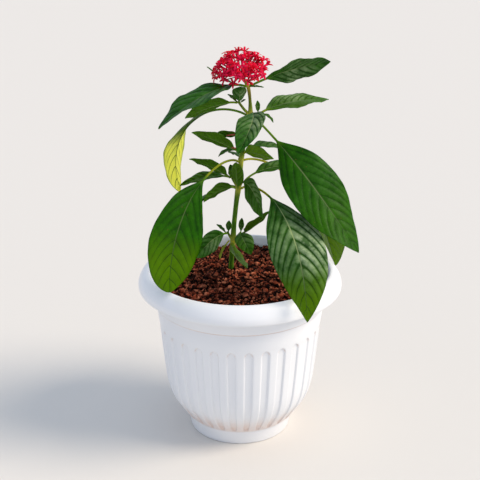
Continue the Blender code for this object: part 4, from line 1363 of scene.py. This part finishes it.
def star_mesh(name, settings, cup):
    """Five petals round a pale throat; cup is how steeply they rise, in degrees."""
    bm = bmesh.new()
    marks = {}

    def point(place, outward):
        vert = bm.verts.new(place * MM)
        marks[vert] = outward
        return vert

    rise = math.tan(math.radians(cup))
    length = settings.petal_length / MM * math.cos(math.radians(cup))
    for k in range(FLORET_SIDES):
        out = spoke(2 * math.pi * (k + 0.5) / FLORET_SIDES)
        side = Vector((-out.y, out.x, 0))
        top, low = [], []
        for share, width in PETAL_ROWS:
            reach = length * share
            curl = 0.9 * math.sin(math.pi * 0.75 * share) - 1.1 * share ** 2
            middle = out * (THROAT_RADIUS + reach) + Vector((0, 0, 0.2 + rise * reach + curl))
            half = side * (settings.petal_width / MM / 2 * width)
            raised = Vector((0, 0, 0.3 * width))
            places = (middle + half + raised, middle, middle - half + raised)
            outward = 0.6 + 0.3 * share
            top.append([point(place, outward) for place in places])
            low.append([point(place - Vector((0, 0, PETAL_THICKNESS)), outward) for place in places])
        tip = point(out * (THROAT_RADIUS + length) + Vector((0, 0, rise * length - 0.2)), 0.9)
        for a, b, c, d in zip(top, top[1:], low, low[1:]):
            for face in ((a[0], a[1], b[1], b[0]), (a[1], a[2], b[2], b[1]), (c[1], c[0], d[0], d[1]),
                         (c[2], c[1], d[1], d[2]), (a[0], b[0], d[0], c[0]), (b[2], a[2], c[2], d[2])):
                bm.faces.new(face)
        bm.faces.new((top[0][1], top[0][0], low[0][0], low[0][1]))
        bm.faces.new((top[0][2], top[0][1], low[0][1], low[0][2]))
        rim = top[-1] + low[-1][::-1]
        for a, b in zip(rim, rim[1:] + rim[:1]):
            bm.faces.new((a, b, tip))
    # The throat is a small low cone of pale hairs.
    ring = [point(spoke(2 * math.pi * k / 6, 0.75, 0.25), 0.93) for k in range(6)]
    peak = point(Vector((0, 0, 0.6)), 1.0)
    for a, b in zip(ring, ring[1:] + ring[:1]):
        bm.faces.new((a, b, peak))
    bm.faces.new(ring)
    return marked_mesh(name, bm, marks)


def head_tree():
    """Geometry Nodes that set florets over a dome, evenly by the golden angle, each turned its own way."""
    tree, given = geometry_tree("Flower Head", {
        "Object": ["Tube", "Open", "Half Open"], "Int": ["Count", "Seed"], "Vector": ["Centre"],
        "Float": ["Radius", "Tilt", "Lean", "Unevenness", "Half Open Share"]})
    # Each floret's own chances: where it strays, how deep it sits, where it faces, its spin, kind and size.
    chances = {}
    ranges = {"stray": ((-0.12, -0.12, -0.08), (0.12, 0.12, 0.08)), "depth": (0.0, 1.0),
              "facing": ((-0.4, -0.4, 0.0), (0.4, 0.4, 0.6)), "spin": (0.0, 1.26), "kind": (0.0, 1.0),
              "size": (0.86, 1.1)}
    for shift, (name, (low, high)) in enumerate(ranges.items()):
        seed = add_node(tree, "Math", (given["Seed"], shift), operation="ADD")
        chances[name] = add_node(tree, "FunctionNodeRandomValue", {0: low, 1: high, "Seed": seed},
                                 data_type="FLOAT_VECTOR" if isinstance(low, tuple) else "FLOAT")
    index = add_node(tree, "GeometryNodeInputIndex")
    counted = add_node(tree, "Math", (index, 0.4), operation="ADD")
    share = add_node(tree, "Math", (counted, given["Count"]), operation="DIVIDE")
    # Equal shares of the cap's area: the cosine of the tilt falls evenly from 1 to that of the lowest tilt.
    lowest = add_node(tree, "Math", (given["Tilt"],), operation="COSINE")
    cosine = add_node(tree, "MapRange", (share, 0.0, 1.0, 1.0, lowest))
    squared = add_node(tree, "Math", (cosine, cosine), operation="MULTIPLY")
    rest = add_node(tree, "Math", (1.0, squared), operation="SUBTRACT")
    # A power below 0.5 crowds the florets outwards, which makes the top of the head broad and flat.
    sine = add_node(tree, "Math", (rest, 0.4), operation="POWER")
    turn = add_node(tree, "Math", (index, math.pi * (3 - math.sqrt(5))), operation="MULTIPLY")
    sides = []
    for way in ("COSINE", "SINE"):
        wave = add_node(tree, "Math", (turn,), operation=way)
        sides.append(add_node(tree, "Math", (sine, wave), operation="MULTIPLY"))
    straight = add_node(tree, "CombineXYZ", (*sides, cosine))
    strayed = add_node(tree, "VectorMath", (straight, chances["stray"]), operation="ADD")
    leaning = add_node(tree, "VectorRotate", {
        "Vector": strayed, "Axis": LEAN_AXIS, "Angle": given["Lean"]}, rotation_type="AXIS_ANGLE")
    outward = add_node(tree, "VectorMath", (leaning,), operation="NORMALIZE")
    sunk = add_node(tree, "Math", (chances["depth"], given["Unevenness"]), operation="MULTIPLY")
    short = add_node(tree, "Math", (1.0, sunk), operation="SUBTRACT")
    reach = add_node(tree, "Math", (given["Radius"], short), operation="MULTIPLY")
    round_offset = add_node(tree, "VectorMath", (outward, reach), operation="SCALE")
    offset = add_node(tree, "VectorMath", (round_offset, (HEAD_SPREAD, HEAD_SPREAD, HEAD_FLATNESS)),
                      operation="MULTIPLY")
    place = add_node(tree, "VectorMath", (offset, given["Centre"]), operation="ADD")
    facing = add_node(tree, "VectorMath", (outward, chances["facing"]), operation="ADD")
    points = add_node(tree, "GeometryNodePoints", {"Count": given["Count"], "Position": place})
    spin = add_node(tree, "FunctionNodeAxisAngleToRotation", {"Axis": (0, 0, 1), "Angle": chances["spin"]})
    turns = {}
    for name, way in (("outward_way", outward), ("facing_way", facing)):
        points = add_node(tree, "GeometryNodeStoreNamedAttribute", {
            "Geometry": points, "Name": name, "Value": way}, data_type="FLOAT_VECTOR", domain="POINT")
        stored = add_node(tree, "GeometryNodeInputNamedAttribute", {"Name": name}, data_type="FLOAT_VECTOR")
        aligned = add_node(tree, "FunctionNodeAlignRotationToVector", {"Vector": stored}, axis="Z")
        turns[name] = add_node(tree, "FunctionNodeRotateRotation", (aligned, spin), rotation_space="LOCAL")
    half_open = add_node(tree, "Math", (chances["kind"], given["Half Open Share"]), operation="LESS_THAN")
    full_open = add_node(tree, "Math", (1.0, half_open), operation="SUBTRACT")
    joined = add_node(tree, "GeometryNodeJoinGeometry")
    for label, way, extra in (
            ("Tube", "outward_way", {}),
            ("Open", "facing_way", {"Selection": full_open, "Scale": chances["size"]}),
            ("Half Open", "facing_way", {"Selection": half_open, "Scale": chances["size"]})):
        shape = add_node(tree, "GeometryNodeObjectInfo", (given[label],)).outputs["Geometry"]
        strewn = add_node(tree, "GeometryNodeInstanceOnPoints", {
            "Points": points, "Instance": shape, "Rotation": turns[way], **extra})
        tree.links.new(strewn.outputs[0], joined.inputs[0])
    end_tree(tree, joined)
    return tree


class PENTAS_OT_flowers(bpy.types.Operator):
    """Make the flower head: its green knob and a dome of star florets"""
    bl_idname = "pentas.flowers"
    bl_label = "Flowers"

    def execute(self, context):
        settings = context.scene.pentas_flower
        shapes = {
            "Tube": tube_mesh(DOME_RADIUS - KNOB_RADIUS),
            "Open": star_mesh("open_star", settings, OPEN_CUP),
            "Half Open": star_mesh("half_open_star", settings, HALF_OPEN_CUP),
        }
        objects = {label: new_object(mesh.name, mesh) for label, mesh in shapes.items()}
        head = new_object("floret_dome", bpy.data.meshes.new("floret_dome"))
        grow(head, head_tree(), {
            **objects, "Count": settings.florets, "Radius": (DOME_RADIUS - 1.2) * MM,
            "Centre": tuple(DOME_CENTRE * MM), "Tilt": settings.tilt, "Lean": math.radians(HEAD_LEAN),
            "Unevenness": HEAD_UNEVENNESS, "Half Open Share": HALF_OPEN, "Seed": settings.seed,
            "Material": petal_skin()})
        for shape in objects.values():
            bpy.data.objects.remove(shape, do_unlink=True)
        nodes = [name for name in frame["nodes"] if name.startswith("flowers_")]
        finish_piece(head, "flower_red", *nodes)
        bm = bmesh.new()
        spot = Matrix.Translation(DOME_CENTRE * MM) @ Matrix.Scale(0.8, 4, (0, 0, 1))
        bmesh.ops.create_uvsphere(bm, u_segments=32, v_segments=20, radius=(KNOB_RADIUS - 0.4) * MM,
                                  matrix=spot)
        mesh = as_mesh(bm, "flower_base")
        mesh.shade_smooth()
        mesh.materials.append(bpy.data.materials["stem_skin"])
        finish_piece(new_object("flower_base", mesh), "stem_green", "flower_knob")
        return {"FINISHED"}


# Stage

CAMERA_PLACE = (0.0, -1.1054, 0.6386)
SENSOR_WIDTH = 36
FLOOR_SIDE = 60
# Where the key light comes from, and how wide it is in degrees, which softens its shadows.
SUN_FROM = (0.74, -0.12, 0.66)
SUN_WIDTH = 28


class PENTAS_OT_stage(bpy.types.Operator):
    """Set up the floor, the soft daylight and the camera"""
    bl_idname = "pentas.stage"
    bl_label = "Stage"

    def execute(self, context):
        settings = context.scene.pentas_stage
        scene = context.scene
        bm = bmesh.new()
        bmesh.ops.create_grid(bm, x_segments=1, y_segments=1, size=FLOOR_SIDE / 2)
        floor = new_object("floor", as_mesh(bm, "floor"))
        floor.data.materials.append(matte_backdrop())
        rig.stage(floor)

        scene.world = bpy.data.worlds.new("soft_sky")
        scene.world.use_nodes = True
        back = scene.world.node_tree.nodes["Background"]
        back.inputs["Color"].default_value = linear("#dde8fa")
        back.inputs["Strength"].default_value = settings.sky

        sun = bpy.data.lights.new("sun", "SUN")
        sun.energy = settings.sun
        sun.angle = math.radians(SUN_WIDTH)
        sun.color = linear("#fff1de")[:3]
        new_object("sun", sun).rotation_euler = Vector(SUN_FROM).to_track_quat("Z", "Y").to_euler()

        camera = bpy.data.cameras.new("camera")
        camera.lens = settings.lens
        camera.sensor_width = SENSOR_WIDTH
        scene.camera = new_object("camera", camera)
        scene.camera.location = CAMERA_PLACE
        scene.camera.rotation_euler = (settings.tilt, 0, 0)
        scene.view_settings.view_transform = "Standard"
        scene.view_settings.look = "None"
        return {"FINISHED"}


# Add-on


class PENTAS_PT_panel(bpy.types.Panel):
    """The pieces of the potted pentas"""
    bl_idname = "PENTAS_PT_panel"
    bl_label = "Potted Pentas"
    bl_space_type = "VIEW_3D"
    bl_region_type = "UI"
    bl_category = "Pentas"

    def draw(self, context):
        for operator, settings in PIECES:
            box = self.layout.box()
            box.operator(operator.bl_idname)
            group = getattr(context.scene, settings) if settings else None
            for name in group.bl_rna.properties.keys() if group else []:
                if name not in ("rna_type", "name"):
                    box.prop(group, name)


PIECES = [
    (PENTAS_OT_pot, "pentas_pot"),
    (PENTAS_OT_soil, "pentas_soil"),
    (PENTAS_OT_stem, None),
    (PENTAS_OT_leaves, "pentas_leaf"),
    (PENTAS_OT_flowers, "pentas_flower"),
    (PENTAS_OT_stage, "pentas_stage"),
]
SETTINGS = {
    "pentas_pot": PotSettings,
    "pentas_soil": SoilSettings,
    "pentas_leaf": LeafSettings,
    "pentas_flower": FlowerSettings,
    "pentas_stage": StageSettings,
}


def register():
    for name, group in SETTINGS.items():
        bpy.utils.register_class(group)
        setattr(bpy.types.Scene, name, bpy.props.PointerProperty(type=group))
    for operator, _ in PIECES:
        bpy.utils.register_class(operator)
    bpy.utils.register_class(PENTAS_PT_panel)


def unregister():
    bpy.utils.unregister_class(PENTAS_PT_panel)
    for operator, _ in reversed(PIECES):
        bpy.utils.unregister_class(operator)
    for name, group in reversed(SETTINGS.items()):
        delattr(bpy.types.Scene, name)
        bpy.utils.unregister_class(group)


def main():
    register()
    bpy.ops.pentas.pot()
    bpy.ops.pentas.soil()
    bpy.ops.pentas.stem()
    bpy.ops.pentas.leaves()
    bpy.ops.pentas.flowers()
    bpy.ops.pentas.stage()
    low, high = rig.bounds()
    sizes = {"cad": [list(CAD_BOX[0]), list(CAD_BOX[1])], "visual": [list(low), list(high)]}
    with open("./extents.json", "w") as out:
        json.dump(sizes, out)


if __name__ == "__main__":
    main()
